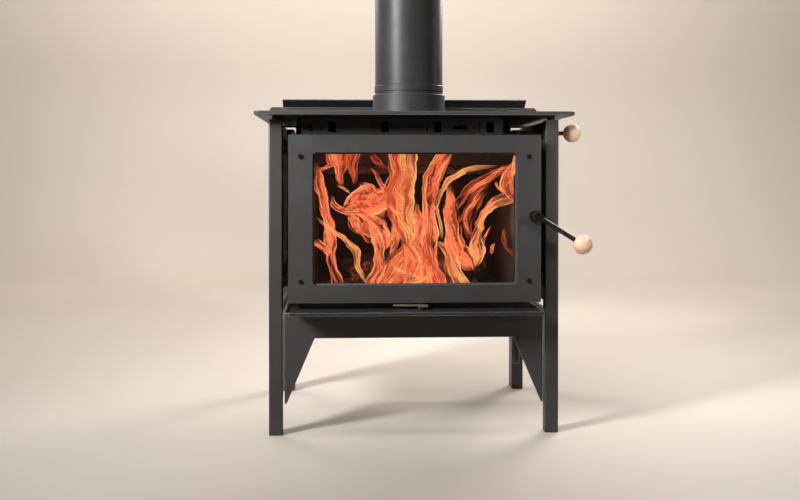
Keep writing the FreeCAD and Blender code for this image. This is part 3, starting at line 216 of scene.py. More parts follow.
class Shader:
    """A material's node tree, with short calls for the nodes used here."""

    def __init__(self, name):
        self.material = bpy.data.materials.new(name)
        self.material.use_nodes = True
        self.tree = self.material.node_tree
        self.surface = self.tree.nodes["Principled BSDF"]

    def add(self, kind, settings=None, **sockets):
        item = self.tree.nodes.new("ShaderNode" + kind)
        for key, value in (settings or {}).items():
            setattr(item, key, value)
        for key, value in sockets.items():
            self.set(item, int(key[1:]) if key[0] == "_" else key.replace("_", " "), value)
        return item

    def set(self, item, socket, value):
        if isinstance(value, bpy.types.NodeSocket):
            self.tree.links.new(value, item.inputs[socket])
        else:
            item.inputs[socket].default_value = value

    def finish(self, **sockets):
        for key, value in sockets.items():
            self.set(self.surface, key.replace("_", " "), value)
        return self.material

    def place(self, scale=(1, 1, 1), centre=(0, 0, 0), turn=(0, 0, 0)):
        """Object coordinates, measured from centre, turned and stretched."""
        coords = self.add("TexCoord").outputs["Object"]
        moved = self.add("VectorMath", {"operation": "SUBTRACT"}, _0=coords, _1=tuple(centre))
        return self.add("Mapping", Vector=moved.outputs[0], Rotation=turn, Scale=scale).outputs[0]

    def noise(self, vector, scale, detail=3.0, roughness=0.5, distortion=0.0):
        item = self.add("TexNoise", Vector=vector, Scale=scale, Detail=detail, Roughness=roughness)
        item.inputs["Distortion"].default_value = distortion
        return item.outputs["Fac"]

    def ramp(self, factor, *stops):
        item = self.add("ValToRGB", Fac=factor)
        elements = item.color_ramp.elements
        while len(elements) < len(stops):
            elements.new(0.5)
        for element, (position, colour) in zip(elements, stops):
            element.position = position
            element.color = (*colour, 1.0)
        return item.outputs["Color"]

    def span(self, value, low, high, from_low=0.0, from_high=1.0):
        """Maps value from one span to another, held at both ends."""
        item = self.add("MapRange", Value=value)
        limits = {"From Min": from_low, "From Max": from_high, "To Min": low, "To Max": high}
        for socket, amount in limits.items():
            item.inputs[socket].default_value = amount
        return item.outputs["Result"]

    def math(self, operation, first, second=0.0):
        return self.add("Math", {"operation": operation}, _0=first, _1=second).outputs[0]

    def mix(self, factor, first, second):
        item = self.add("Mix", {"data_type": "RGBA"})
        self.set(item, "Factor", factor)
        self.set(item, 6, first)
        self.set(item, 7, second)
        return item.outputs[2]

    def bump(self, height, strength, distance, normal=None):
        item = self.add("Bump", Height=height, Strength=strength, Distance=distance)
        if normal:
            self.set(item, "Normal", normal)
        return item.outputs["Normal"]


def tinted(colour, factor):
    return tuple(min(1.0, part * factor) for part in colour)


# Materials ---------------------------------------------------------------------------------------


def satin_paint(name, colour, roughness, grain=1.0, shine=0.5):
    """Satin stove paint: faint clouds of tone, a fine sandy grain and slightly uneven gloss."""
    shader = Shader(name)
    place = shader.place()
    clouds = shader.noise(place, 7.0, 4.0, 0.6)
    grit = shader.noise(place, 1400.0, 2.0)
    tone = shader.ramp(clouds, (0.30, tinted(colour, 0.88)), (0.70, tinted(colour, 1.14)))
    speck = shader.span(grit, 0.0, 0.10 * grain, 0.62, 0.80)
    base = shader.mix(speck, tone, (*tinted(colour, 2.2), 1.0))
    gloss = shader.span(shader.noise(place, 30.0, 3.0), roughness - 0.05, roughness + 0.06, 0.3, 0.7)
    wave = shader.noise(place, 260.0, 2.0)
    peel = shader.bump(wave, 0.05 * grain, 0.4 * MM)
    sand = shader.bump(grit, 0.16 * grain, 0.12 * MM, peel)
    return shader.finish(Base_Color=base, Roughness=gloss, Normal=sand, Specular_IOR_Level=shine)


def blackened_steel(name, colour):
    """Oil-blackened steel, with a faint brown bloom."""
    shader = Shader(name)
    place = shader.place()
    bloom = shader.noise(place, 120.0, 4.0)
    base = shader.ramp(bloom, (0.35, colour), (0.75, (colour[0] * 2.1, colour[1] * 1.8, colour[2] * 1.6)))
    gloss = shader.span(shader.noise(place, 400.0), 0.22, 0.36, 0.3, 0.7)
    turned = shader.bump(shader.noise(place, 2200.0, 2.0), 0.10, 0.08 * MM)
    return shader.finish(Base_Color=base, Roughness=gloss, Normal=turned, Metallic=0.55)


def browned_steel(name, colour):
    """Bare steel that heat has browned unevenly, with fine rolling lines."""
    shader = Shader(name)
    heat = shader.noise(shader.place(), 45.0, 5.0, 0.6)
    base = shader.ramp(heat, (0.30, tinted(colour, 1.15)), (0.55, colour), (0.80, tinted(colour, 0.5)))
    lines = shader.noise(shader.place((60.0, 1600.0, 1600.0)), 1.0, 2.0)
    gloss = shader.span(lines, 0.28, 0.44, 0.3, 0.7)
    rolled = shader.bump(lines, 0.12, 0.05 * MM)
    return shader.finish(Base_Color=base, Roughness=gloss, Normal=rolled, Metallic=0.9)


def turned_wood(name, ball, light, dark, turn):
    """Turned pale hardwood: growth lines along the ball's own grain, short darker flecks and a thin oil."""
    shader = Shader(name)
    centre = middle_of(ball)
    bent = shader.place((14.0, 70.0, 190.0), centre, turn)
    growth = shader.noise(bent, 1.0, 3.0, 0.55, 0.6)
    lines = shader.noise(shader.place((30.0, 300.0, 900.0), centre, turn), 1.0, 2.0)
    flecks = shader.noise(shader.place((260.0, 1500.0, 2400.0), centre, turn), 1.0, 1.0)
    tone = shader.ramp(growth, (0.28, dark), (0.46, light), (0.62, tinted(light, 1.06)), (0.78, dark))
    lined = shader.mix(shader.span(lines, 0.0, 0.55, 0.48, 0.72), tone, (*dark, 1.0))
    base = shader.mix(shader.span(flecks, 0.0, 0.5, 0.60, 0.72), lined, (*tinted(dark, 0.62), 1.0))
    grain = shader.bump(lines, 0.10, 0.15 * MM)
    gloss = shader.span(growth, 0.42, 0.55)
    return shader.finish(
        Base_Color=base, Roughness=gloss, Normal=grain, Coat_Weight=0.08, Coat_Roughness=0.35,
    )


def stove_glass(name, colour):
    """Ceramic glass with the faintest smoke film."""
    shader = Shader(name)
    film = shader.noise(shader.place((6.0, 6.0, 9.0)), 1.0, 4.0, 0.55)
    gloss = shader.span(film, 0.0, 0.10, 0.50, 0.85)
    return shader.finish(Base_Color=(*colour, 1.0), Roughness=gloss, Transmission_Weight=1.0, IOR=1.46)


def sooty_brick(name, brick, soot):
    """Pressed firebrick under soot in patches."""
    shader = Shader(name)
    place = shader.place()
    body = shader.noise(place, 60.0, 5.0, 0.6)
    pits = shader.noise(place, 420.0, 3.0)
    clean = shader.ramp(body, (0.30, tinted(brick, 0.6)), (0.70, brick))
    film = shader.span(shader.noise(place, 9.0, 4.0, 0.6, 0.4), 0.62, 0.92, 0.35, 0.6)
    base = shader.mix(film, clean, (*soot, 1.0))
    rough = shader.bump(pits, 0.5, 0.8 * MM, shader.bump(body, 0.3, 1.5 * MM))
    return shader.finish(Base_Color=base, Roughness=0.92, Normal=rough)


def sooty_steel(name, soot):
    """Steel inside the fire: matt soot with paler ash in patches."""
    shader = Shader(name)
    place = shader.place()
    ash = shader.noise(place, 35.0, 5.0, 0.65)
    base = shader.ramp(ash, (0.45, soot), (0.80, tinted(soot, 4.0)))
    rough = shader.bump(shader.noise(place, 500.0, 3.0), 0.25, 0.4 * MM)
    return shader.finish(Base_Color=base, Roughness=0.85, Normal=rough)


def braided_rope(name, colour):
    """Glass fibre yarn: fine strands along each ply."""
    shader = Shader(name)
    place = shader.place()
    fibre = shader.noise(place, 900.0, 2.0)
    base = shader.ramp(fibre, (0.30, tinted(colour, 0.6)), (0.70, tinted(colour, 1.8)))
    return shader.finish(Base_Color=base, Roughness=0.8, Normal=shader.bump(fibre, 0.6, 0.3 * MM))


def flame_light(name, rim, body, core, strength, cover):
    """Glowing gas: bright along both edges and along fine folds, deeper between them, thin at its ends."""
    shader = Shader(name)
    along_round = shader.add("SeparateXYZ", Vector=shader.add("UVMap", {"uv_map": "UVMap"}).outputs[0])
    along, turn = along_round.outputs[0], shader.math("MULTIPLY", along_round.outputs[1], math.tau)
    across = shader.math("SINE", turn)
    depth = shader.math("ABSOLUTE", shader.math("COSINE", turn))
    long_way = shader.math("MULTIPLY", along, 2.2)
    wide_way = shader.math("MULTIPLY", across, 1.5)
    sheet = shader.add("CombineXYZ", X=long_way, Y=wide_way).outputs[0]
    drift = shader.add("VectorMath", {"operation": "SCALE"}, _0=shader.place(), Scale=11.0).outputs[0]
    warped = shader.add("VectorMath", {"operation": "ADD"}, _0=sheet, _1=drift).outputs[0]
    broad = shader.noise(warped, 1.0, 2.0, 0.5, 0.5)
    folds = shader.noise(warped, 2.4, 3.0, 0.55, 1.3)
    ridge = shader.span(shader.math("ABSOLUTE", shader.math("SUBTRACT", folds, 0.5)), 0.0, 1.0, 0.0, 0.085)
    wander = shader.math("MULTIPLY", shader.math("SUBTRACT", folds, 0.5), 1.1)
    edge = shader.span(shader.math("ADD", depth, wander), 0.0, 1.0, 0.10, 0.80)
    lines = shader.math("ADD", 0.62, shader.math("MULTIPLY", ridge, 0.38))
    shade = shader.span(broad, 0.50, 1.25, 0.32, 0.66)
    level = shader.math("MULTIPLY", shader.math("MULTIPLY", edge, lines), shade)
    dusk = tinted(core, 0.45)
    colour = shader.ramp(
        level, (0.0, rim), (0.12, rim), (0.30, body), (0.66, body), (0.84, core), (1.0, dusk)
    )
    root = shader.span(along, 0.0, 1.0, 0.0, 0.08)
    tip = shader.span(along, 1.0, 0.0, 0.80, 1.0)
    ends = shader.math("MULTIPLY", root, tip)
    solid = shader.span(level, 1.0, cover, 0.22, 0.80)
    patch = shader.span(broad, 1.0, 0.5 * cover, 0.47, 0.62)
    frayed = shader.span(shader.math("ADD", depth, wander), 0.0, 1.0, -0.12, 0.10)
    outline = shader.math("MULTIPLY", ends, frayed)
    alpha = shader.math("MULTIPLY", outline, shader.math("MULTIPLY", solid, patch))
    return shader.finish(
        Base_Color=(0.0, 0.0, 0.0, 1.0), Roughness=1.0, Specular_IOR_Level=0.0,
        Emission_Color=colour, Emission_Strength=strength, Alpha=alpha,
    )


def charcoal(name, ember, soot, glow):
    """Charred wood, split into blocks by cracks that still glow."""
    shader = Shader(name)
    place = shader.place()
    blocks = shader.add("TexVoronoi", {"feature": "DISTANCE_TO_EDGE"}, Vector=place, Scale=75.0)
    cells = blocks.outputs["Distance"]
    patch = shader.span(shader.noise(place, 16.0, 3.0), 0.0, 1.0, 0.54, 0.70)
    crack = shader.math("MULTIPLY", shader.span(cells, 1.0, 0.0, 0.0, 0.12), patch)
    base = shader.ramp(shader.noise(place, 90.0, 4.0), (0.3, soot), (0.75, tinted(soot, 3.2)))
    colour = shader.ramp(crack, (0.0, (0.0, 0.0, 0.0)), (1.0, ember))
    rough = shader.bump(cells, 0.8, 1.5 * MM)
    return shader.finish(
        Base_Color=base, Roughness=0.9, Normal=rough, Emission_Color=colour, Emission_Strength=glow,
    )


def stage_finish(name, colour):
    """Plain floor with the faintest clouds of tone."""
    shader = Shader(name)
    clouds = shader.noise(shader.place(), 1.2, 3.0)
    base = shader.ramp(clouds, (0.3, tinted(colour, 0.97)), (0.7, colour))
    return shader.finish(Base_Color=base, Roughness=0.55)


# CAD sub-parts and their finishes ----------------------------------------------------------------


def give(names, *materials):
    for name in names:
        slots = NODES[name].data.materials
        slots.clear()
        for material in materials:
            slots.append(material)


def break_edges(name, width, segments=2):
    """Rounds a sheet's cut edges. The triangles of each flat face are merged first, for a clean bevel."""
    modifiers = NODES[name].modifiers
    weld = modifiers.new("joined corners", "WELD")
    weld.merge_threshold = 0.002 * MM
    flat = modifiers.new("whole faces", "DECIMATE")
    flat.decimate_type = "DISSOLVE"
    flat.angle_limit = math.radians(0.4)
    bevel = modifiers.new("broken edges", "BEVEL")
    bevel.width = width
    bevel.segments = segments
    bevel.limit_method = "ANGLE"
    bevel.angle_limit = math.radians(EDGE_ANGLE)
    bevel.miter_outer = "MITER_ARC"
    bevel.harden_normals = True
    bevel.material = EDGE_SLOT


# Corners sharper than this many degrees are rounded, and take the material in the second slot.
EDGE_ANGLE = 40.0
EDGE_SLOT = 1
# Painted highlight in a pale colour along the lip's rounded edge, painted reflection in warm brown along the
# top plate's rounded edge, and painted shade darkening the lip's paint.
LIP_EDGE_HIGHLIGHT_COLOUR = (0.62, 0.61, 0.60)
TOP_EDGE_REFLECTION_COLOUR = (0.16, 0.125, 0.108)
LIP_PAINTED_SHADE = 0.4

FOLDED_SHEETS = (
    "front_skirt", "side_skirt_left", "side_skirt_right", "heat_deflector", "rear_heat_shield",
    "side_panel_left", "side_panel_right", "bottom_heat_shield",
    "side_rails_left", "side_rails_right", "firebox_brackets_left", "firebox_brackets_right",
)
POSTS = ("front_post_left", "front_post_right", "rear_post_left", "rear_post_right")
PLAIN_PAINTED = (
    "firebox_shell", "firebox_front", "firebox_roof", "door_inner_frame", "hinge_brackets",
    "door_hinge_lugs", "latch_keeper", "air_box", "air_slide_plate", "post_spacers", "roof_spacers",
    "base_spacers", "rear_shield_spacers",
)
SMALL_SHEETS = ("air_slide_plate", "air_box", "hinge_brackets", "latch_keeper")
BLACK_STEEL = (
    "door_screws", "air_shoulder_screws", "collar_bolts", "spindle_nut", "air_rod_nut", "latch_cam",
    "handle_spindle", "handle_rod", "air_rod", "handle_bush", "air_rod_guide", "hinge_pins",
)


class STOVE_OT_paint_steel(bpy.types.Operator):
    """Satin paint on the frame, plates, shields, skirts and door, with softly broken edges"""

    bl_idname = "stove.paint_steel"
    bl_label = "Paint the sheet steel"

    def execute(self, context):
        finish = context.scene.stove_finish
        paint = satin_paint("satin_charcoal_paint", tuple(finish.paint), finish.paint_gloss)
        # The second slot, on the rounded edges, holds a paler paint: a painted highlight.
        edge = satin_paint("edge_painted_highlight", tuple(finish.edge_highlight), finish.paint_gloss - 0.1, 0.5)
        give((*FOLDED_SHEETS, *POSTS, *PLAIN_PAINTED, "door_plate"), paint, edge)
        for name in (*FOLDED_SHEETS, *POSTS):
            break_edges(name, finish.edge_round)
        break_edges("door_plate", finish.door_round, 4)
        # Painted shade: the lip takes a darker copy of the satin paint.
        lip_shade_paint = satin_paint("lip_painted_shade", tinted(finish.paint, LIP_PAINTED_SHADE), finish.paint_gloss)
        # Painted highlight: the lip's rounded edge in a pale paint.
        lip_highlight_paint = satin_paint("lip_edge_painted_highlight", LIP_EDGE_HIGHLIGHT_COLOUR, 0.3, 0.3)
        give(("ash_lip",), lip_shade_paint, lip_highlight_paint)
        break_edges("ash_lip", 3 * finish.edge_round)
        # Painted reflection: the top plate's rounded edge in a warm brown.
        top_reflection_paint = satin_paint("top_edge_painted_reflection", TOP_EDGE_REFLECTION_COLOUR, 0.36, 0.3)
        give(("top_plate",), paint, top_reflection_paint)
        break_edges("top_plate", 2 * finish.edge_round)
        for name in SMALL_SHEETS:
            break_edges(name, finish.edge_round / 2)
        return {"FINISHED"}


class STOVE_OT_finish_flue(bpy.types.Operator):
    """Smooth satin paint on the flue pipe and its collar"""

    bl_idname = "stove.finish_flue"
    bl_label = "Finish the flue"

    def execute(self, context):
        finish = context.scene.stove_finish
        give(("flue_pipe",), satin_paint("flue_paint", tuple(finish.flue), finish.flue_gloss, 0.4, 0.36))
        give(("flue_collar",), satin_paint("collar_paint", tuple(finish.flue), finish.paint_gloss, 0.8, 0.4))
        return {"FINISHED"}


class STOVE_OT_finish_fittings(bpy.types.Operator):
    """Wooden balls, blackened rods, pins and screws, and the bare steel of the air lever"""

    bl_idname = "stove.finish_fittings"
    bl_label = "Finish the fittings"

    def execute(self, context):
        finish = context.scene.stove_finish
        light, dark = tuple(finish.wood_light), tuple(finish.wood_dark)
        give(("air_ball",), turned_wood("air_ball_wood", "air_ball", light, dark, (0.15, 0.0, 0.02)))
        give(("handle_ball",), turned_wood("handle_ball_wood", "handle_ball", light, dark, (0.5, 0.55, 0.3)))
        give(BLACK_STEEL, blackened_steel("blackened_steel", tuple(finish.black_steel)))
        give(("boost_lever", "boost_pivot"), browned_steel("browned_steel", tuple(finish.bare_steel)))
        return {"FINISHED"}


class STOVE_OT_finish_firebox(bpy.types.Operator):
    """Sooty bricks, baffle, air tubes and airwash channel"""

    bl_idname = "stove.finish_firebox"
    bl_label = "Finish the firebox"

    def execute(self, context):
        finish = context.scene.stove_finish
        brick = sooty_brick("sooty_firebrick", tuple(finish.brick), tuple(finish.soot))
        give(("firebrick_left", "firebrick_right", "firebrick_back", "floor_bricks", "baffle"), brick)
        give(("secondary_air_tubes", "airwash_channel"), sooty_steel("sooty_steel", tuple(finish.soot)))
        return {"FINISHED"}


class STOVE_OT_finish_glass(bpy.types.Operator):
    """Clear stove glass and the flat gasket round it"""

    bl_idname = "stove.finish_glass"
    bl_label = "Finish the glass"

    def execute(self, context):
        finish = context.scene.stove_finish
        give(("door_glass",), stove_glass("ceramic_glass", tuple(finish.glass)))
        give(("glass_gasket",), braided_rope("woven_gasket", tuple(finish.rope)))
        return {"FINISHED"}


# New pieces --------------------------------------------------------------------------------------


def path_curve(name, points, radii, profile=None, radius=0.0, cyclic=False):
    """A smooth curve led by the points, thickened by a profile or to a round of that radius."""
    deselect_all()
    bpy.ops.curve.primitive_nurbs_path_add(location=(0, 0, 0))
    item = name_new(name)
    spline = item.data.splines[0]
    missing = len(points) - len(spline.points)
    if missing < 0:
        item.data.splines.remove(spline)
        spline = item.data.splines.new("NURBS")
        missing = len(points) - 1
    if missing:
        spline.points.add(missing)
    for handle, point, width in zip(spline.points, points, radii):
        handle.co = (*point, 1.0)
        handle.radius = width
    spline.order_u = 3
    spline.use_cyclic_u = cyclic
    spline.use_endpoint_u = not cyclic
    spline.resolution_u = 6
    item.data.dimensions = "3D"
    item.data.use_fill_caps = not cyclic
    if profile:
        item.data.bevel_mode = "OBJECT"
        item.data.bevel_object = profile
    else:
        item.data.bevel_depth = radius
        item.data.bevel_resolution = 1
    return item


# The flames are set out as they show in the window from the default camera, which stands CAMERA_REACH in
# front of the glass, and SIGHT_X across and SIGHT_Z up from the middle of the window's lower edge. What
# stands further back is spread about the line of sight, so that it shows at the same place.
WINDOW_HEIGHT = 271 * MM
CAMERA_REACH = 2.06
SIGHT_X = -0.130
SIGHT_Z = 0.221
# How much wider a flame is made than its listed width, the least width, and its thickness for its width.
WIDEN = 1.04
LEAST_WIDTH = 1.2
FLATNESS = 0.16
# Millimetres to each step back, and how far a flame drifts to and fro on its way.
STEP_BACK = 1.6
SWAY = 4 * MM
# No flame reaches further across than this. Over the last stretch before it, from EDGE_START on, the flames
# come forward, clear of the side bricks. In millimetres, and a share of the depth.
FLAME_REACH = 203
EDGE_START = 165
EDGE_STRETCH = 30
EDGE_FORWARD = 0.62
# Tongues at least this wide, in millimetres, have strands: how each glows and its share of the width.
WIDE_TONGUE = 18
STRANDS = (("yellow", 0.10), ("bright", 0.35), ("veil", 1.1))
# Unevenness of the flames: size of the waves, their strength and the way they push.
FLAME_WAVES = ((42 * MM, 20 * MM, "X"), (19 * MM, 6 * MM, "X"), (22 * MM, 6 * MM, "Z"))

# Each flame is a run of points along its length: across and up from the middle of the window's lower edge,
# and the flame's width there, all in millimetres. The first number counts the steps that it stands back from
# the front of the fire, and the word says how it glows.
FLAMES = (
    # left of the window
    (10, "bright", (
        (-158, -8, 22), (-172, 42, 20), (-175, 80, 20), (-175, 116, 19), (-184, 171, 22),
        (-195, 217, 26), (-203, 244, 10),
    )),
    (12, "bright", ((-176, 62, 10), (-190, 82, 16), (-208, 90, 13))),
    (4, "yellow", (
        (-208, 140, 4), (-168, 108, 9), (-140, 87, 10), (-121, 74, 13), (-113, 60, 12), (-119, 38, 10),
        (-104, 15, 8), (-94, -4, 6),
    )),
    (14, "bright", ((-160, 285, 44), (-158, 262, 42), (-155, 244, 32), (-160, 222, 12), (-147, 203, 3))),
    (22, "veil", ((-122, 290, 30), (-126, 262, 24), (-127, 236, 14), (-124, 205, 4))),
    (16, "bright", ((-193, 236, 6), (-182, 240, 8), (-170, 250, 8))),
    (8, "yellow", ((-158, 205, 2), (-146, 196, 6), (-133, 187, 3))),
    (9, "bright", (
        (-172, 184, 4), (-166, 168, 10), (-156, 155, 11), (-138, 149, 13), (-112, 149, 14),
        (-88, 132, 16), (-70, 112, 8),
    )),
    # the sail in the left middle
    (20, "bright", (
        (-150, 154, 6), (-128, 160, 26), (-104, 176, 62), (-80, 172, 62), (-62, 176, 34),
        (-52, 200, 12), (-49, 232, 7), (-51, 262, 3),
    )),
    (24, "veil", ((-116, 206, 10), (-100, 192, 40), (-84, 170, 60), (-72, 150, 40), (-62, 130, 10))),
    (12, "bright", ((-128, 142, 8), (-118, 126, 22), (-112, 110, 10), (-108, 102, 2))),
    (16, "bright", (
        (-104, 148, 20), (-98, 128, 40), (-84, 112, 44), (-68, 100, 36), (-60, 84, 24), (-62, 68, 6),
    )),
    (10, "yellow", ((-94, 132, 5), (-90, 112, 9), (-92, 92, 8), (-88, 78, 2))),
    (8, "bright", (
        (-90, -8, 30), (-78, 22, 22), (-70, 50, 22), (-74, 80, 26), (-84, 104, 22), (-96, 128, 6),
    )),
    (13, "bright", ((-70, 196, 2), (-76, 190, 7), (-88, 176, 9), (-98, 164, 4))),
    (11, "bright", ((-88, 240, 2), (-76, 218, 7), (-62, 196, 9), (-56, 182, 6))),
    (18, "veil", ((-84, 268, 10), (-74, 252, 14), (-64, 236, 6))),
    # the tall middle column
    (15, "yellow", (
        (-10, 292, 32), (-12, 250, 34), (-16, 214, 36), (-20, 176, 40), (-18, 140, 32), (-8, 104, 26),
        (2, 76, 22),
    )),
    (21, "bright", (
        (-44, 290, 4), (-44, 250, 8), (-40, 212, 12), (-46, 176, 20), (-36, 140, 24), (-22, 104, 20),
        (-14, 80, 8),
    )),
    (25, "veil", (
        (-30, 285, 20), (-32, 240, 26), (-30, 200, 40), (-28, 160, 50), (-20, 120, 40), (-10, 80, 20),
    )),
    (7, "yellow", ((-58, 166, 4), (-40, 146, 7), (-22, 124, 9), (-8, 98, 12), (4, 72, 10))),
    # the mass of fire along the bottom
    (14, "bright", (
        (-70, -12, 24), (-58, 14, 30), (-40, 34, 26), (-30, 52, 20), (-12, 66, 18), (4, 84, 14),
        (0, 104, 6),
    )),
    (10, "bright", (
        (-44, -12, 30), (-34, 12, 26), (-14, 26, 24), (-2, 46, 30), (-8, 70, 22), (-24, 88, 8),
    )),
    (17, "bright", ((-8, -14, 34), (-4, 10, 30), (10, 30, 30), (16, 54, 34), (8, 78, 26), (-6, 96, 8))),
    (12, "bright", ((22, -14, 26), (26, 10, 24), (20, 34, 22), (30, 56, 26), (26, 80, 14), (34, 100, 4))),
    (19, "bright", ((52, -14, 30), (50, 14, 24), (40, 34, 20), (34, 56, 14), (22, 70, 5))),
    (6, "yellow", ((12, -10, 12), (6, 12, 10), (-12, 24, 9), (-34, 30, 7), (-52, 44, 3))),
    (8, "yellow", ((-26, 6, 3), (-10, 2, 8), (8, 6, 10), (24, 14, 7), (30, 28, 3))),
    (24, "veil", ((-50, -14, 50), (-30, 20, 50), (-6, 50, 46), (8, 80, 30), (10, 110, 10))),
    (25, "veil", ((30, -14, 60), (30, 20, 50), (24, 50, 40), (14, 80, 20))),
    (8, "bright", ((-46, 60, 6), (-38, 84, 18), (-40, 104, 14), (-48, 128, 4))),
    (12, "bright", ((3, 60, 16), (6, 92, 22), (8, 124, 18), (4, 150, 8), (2, 168, 2))),
    # the plume right of the middle
    (15, "bright", (
        (38, 60, 20), (30, 92, 34), (30, 128, 34), (27, 166, 27), (30, 202, 30), (42, 236, 32),
        (60, 268, 26), (80, 292, 16),
    )),
    (5, "yellow", (
        (52, 92, 3), (54, 116, 6), (46, 142, 6), (42, 162, 6), (49, 186, 8), (66, 212, 12),
        (88, 226, 10), (112, 238, 9), (138, 242, 8), (164, 245, 2),
    )),
    (11, "bright", ((36, 92, 4), (28, 112, 6), (28, 136, 4), (34, 160, 2))),
    (20, "veil", ((16, 168, 4), (20, 188, 16), (26, 206, 10))),
    # the lobes on the right
    (13, "bright", (
        (86, 50, 14), (82, 70, 36), (78, 98, 30), (74, 128, 26), (70, 160, 22), (68, 186, 13),
        (74, 206, 5),
    )),
    (23, "dim", (
        (78, 118, 10), (92, 144, 36), (108, 172, 44), (132, 202, 28), (160, 224, 18), (186, 240, 14),
        (200, 246, 5),
    )),
    (17, "bright", (
        (88, 152, 3), (104, 176, 6), (130, 200, 8), (156, 220, 11), (182, 238, 11), (198, 243, 4),
    )),
    (14, "dim", (
        (120, 90, 10), (110, 118, 16), (114, 146, 24), (132, 176, 24), (150, 196, 10), (162, 206, 3),
    )),
    (9, "bright", (
        (118, 100, 3), (108, 124, 6), (107, 140, 7), (118, 164, 10), (134, 184, 13), (150, 200, 5),
    )),
    (6, "yellow", (
        (124, 34, 5), (130, 50, 18), (129, 72, 34), (132, 92, 22), (134, 112, 10), (140, 134, 10),
        (154, 156, 12), (174, 168, 14), (196, 176, 15), (216, 188, 10),
    )),
    (10, "bright", ((128, 118, 6), (140, 146, 12), (158, 168, 12), (176, 184, 6), (186, 196, 2))),
    (16, "bright", ((214, 262, 4), (206, 238, 24), (192, 208, 46), (198, 184, 24), (206, 170, 6))),
    (5, "yellow", ((210, 268, 7), (211, 252, 11), (208, 234, 8), (196, 220, 3))),
    (7, "bright", ((166, 212, 3), (172, 196, 7), (184, 184, 8), (192, 174, 5))),
    (11, "yellow", ((102, -10, 34), (88, 16, 26), (78, 44, 24), (72, 66, 20), (56, 82, 10), (46, 86, 3))),
    (15, "bright", ((118, 30, 20), (108, 52, 34), (92, 66, 36), (78, 80, 14), (72, 86, 4))),
    (8, "bright", ((144, 84, 5), (150, 100, 5), (158, 120, 2))),
    (9, "bright", ((164, 62, 4), (160, 70, 13), (162, 80, 6), (166, 86, 2))),
    (20, "dim", ((202, 24, 3), (205, 48, 5), (196, 72, 6), (176, 88, 5), (184, 108, 6), (190, 122, 2))),
    (18, "dim", ((190, 70, 3), (184, 86, 6), (180, 104, 4), (182, 116, 2))),
    (14, "bright", ((48, 88, 3), (46, 64, 7), (48, 40, 8), (44, 18, 12))),
)


class STOVE_OT_add_flames(bpy.types.Operator):
    """Flames: flat twisting tongues of glowing gas between the glass and the back of the firebox"""

    bl_idname = "stove.add_flames"
    bl_label = "Add the flames"

    def execute(self, context):
        fire = context.scene.stove_fire
        rim, body, core = tuple(fire.rim), tuple(fire.body), tuple(fire.core)
        deep = ((0.80, 0.16, 0.05), (0.40, 0.055, 0.022), (0.14, 0.022, 0.012))
        glows = {
            "bright": flame_light("flame_bright", rim, body, core, 1.22, 0.42),
            "yellow": flame_light("flame_yellow", tinted(rim, 1.15), (1.0, 0.40, 0.13), body, 1.12, 0.55),
            "veil": flame_light("flame_veil", body, core, tinted(core, 0.7), 0.9, 0.12),
            "dim": flame_light("flame_dim", *deep, 1.0, 0.25),
        }
        deselect_all()
        bpy.ops.curve.primitive_nurbs_circle_add(radius=0.5)
        profile = name_new("flame_profile")
        profile.scale = (1.0, FLATNESS, 1.0)
        profile.data.resolution_u = 5
        bpy.ops.object.transform_apply(location=False, rotation=False, scale=True)
        window = middle_of("door_glass")
        low = middle_of("door_plate").z - WINDOW_HEIGHT / 2
        spread = 1.0 + fire.depth / CAMERA_REACH
        made = {kind: [] for kind in glows}
        chance = random.Random(fire.seed)
        for index, (back, kind, run) in enumerate((*FLAMES, *strands(chance))):
            points, widths = [], []
            for step, (across, up, width) in enumerate(run):
                sway = SWAY * math.sin(1.7 * index + 1.3 * step)
                across = max(-FLAME_REACH, min(FLAME_REACH, across))
                near_edge = min(1.0, max(0.0, (abs(across) - EDGE_START) / EDGE_STRETCH))
                depth = (fire.depth + back * STEP_BACK * MM) * (1.0 - EDGE_FORWARD * near_edge)
                points.append((
                    window.x + SIGHT_X + (across * MM - SIGHT_X) * spread,
                    low + SIGHT_Z + (up * MM - SIGHT_Z) * spread,
                    -(GLASS_BACK_Y + depth + sway * (1.0 - near_edge)),
                ))
                widths.append(max(width, LEAST_WIDTH) * MM * spread * WIDEN)
            tongue = path_curve(f"tongue_{index}", points, widths, profile)
            tongue.data.twist_mode = "Z_UP"
            tongue.rotation_euler = (math.pi / 2, 0.0, 0.0)
            made[kind].append(settle(to_mesh(tongue)))
        bpy.data.objects.remove(profile)
        for kind, tongues in made.items():
            flames = join(tongues, f"flames_{kind}")
            outward(flames)
            for scale, strength, way in FLAME_WAVES:
                roughen(flames, "CLOUDS", scale, strength, way)
            apply_modifiers(flames)
            choose(flames)
            bpy.ops.object.shade_smooth()
            dress(flames, glows[kind], "stove")
        return {"FINISHED"}


def strands(chance):
    """Thin strands that run with each wide tongue, some brighter and some dimmer, each set a little in front
    of it or behind it at random.
    """
    for back, kind, run in FLAMES:
        if kind == "dim" or max(width for _, _, width in run) < WIDE_TONGUE:
            continue
        for kind_made, share in STRANDS:
            start = chance.uniform(-0.45, 0.45)
            finish = chance.uniform(-0.55, 0.55)
            first = chance.randrange(0, max(1, len(run) - 4))
            part = run[first:]
            last = len(part) - 1
            strand = []
            for step, (across, up, width) in enumerate(part):
                lean = start + (finish - start) * step / max(1, last)
                taper = 0.4 if step in (0, last) else 1.0
                strand.append((
                    across + lean * width,
                    up + chance.uniform(-3, 3),
                    width * share * chance.uniform(0.5, 1.3) * taper,
                ))
            yield back + chance.uniform(-7, 7), kind_made, tuple(strand)


# Logs: name, across from the firebox's middle, back from its front, height over the bricks, length, radius
# and turn on the bricks in radians.
LOGS = (
    ("split_log_rear", 0.01, 0.235, 0.040, 0.33, 0.038, 0.06),
    ("split_log_front", -0.02, 0.155, 0.036, 0.30, 0.034, -0.09),
)
EMBERS = 90
EMBER_MARGIN = 0.03
EMBER_FRONT_MARGIN = 0.06


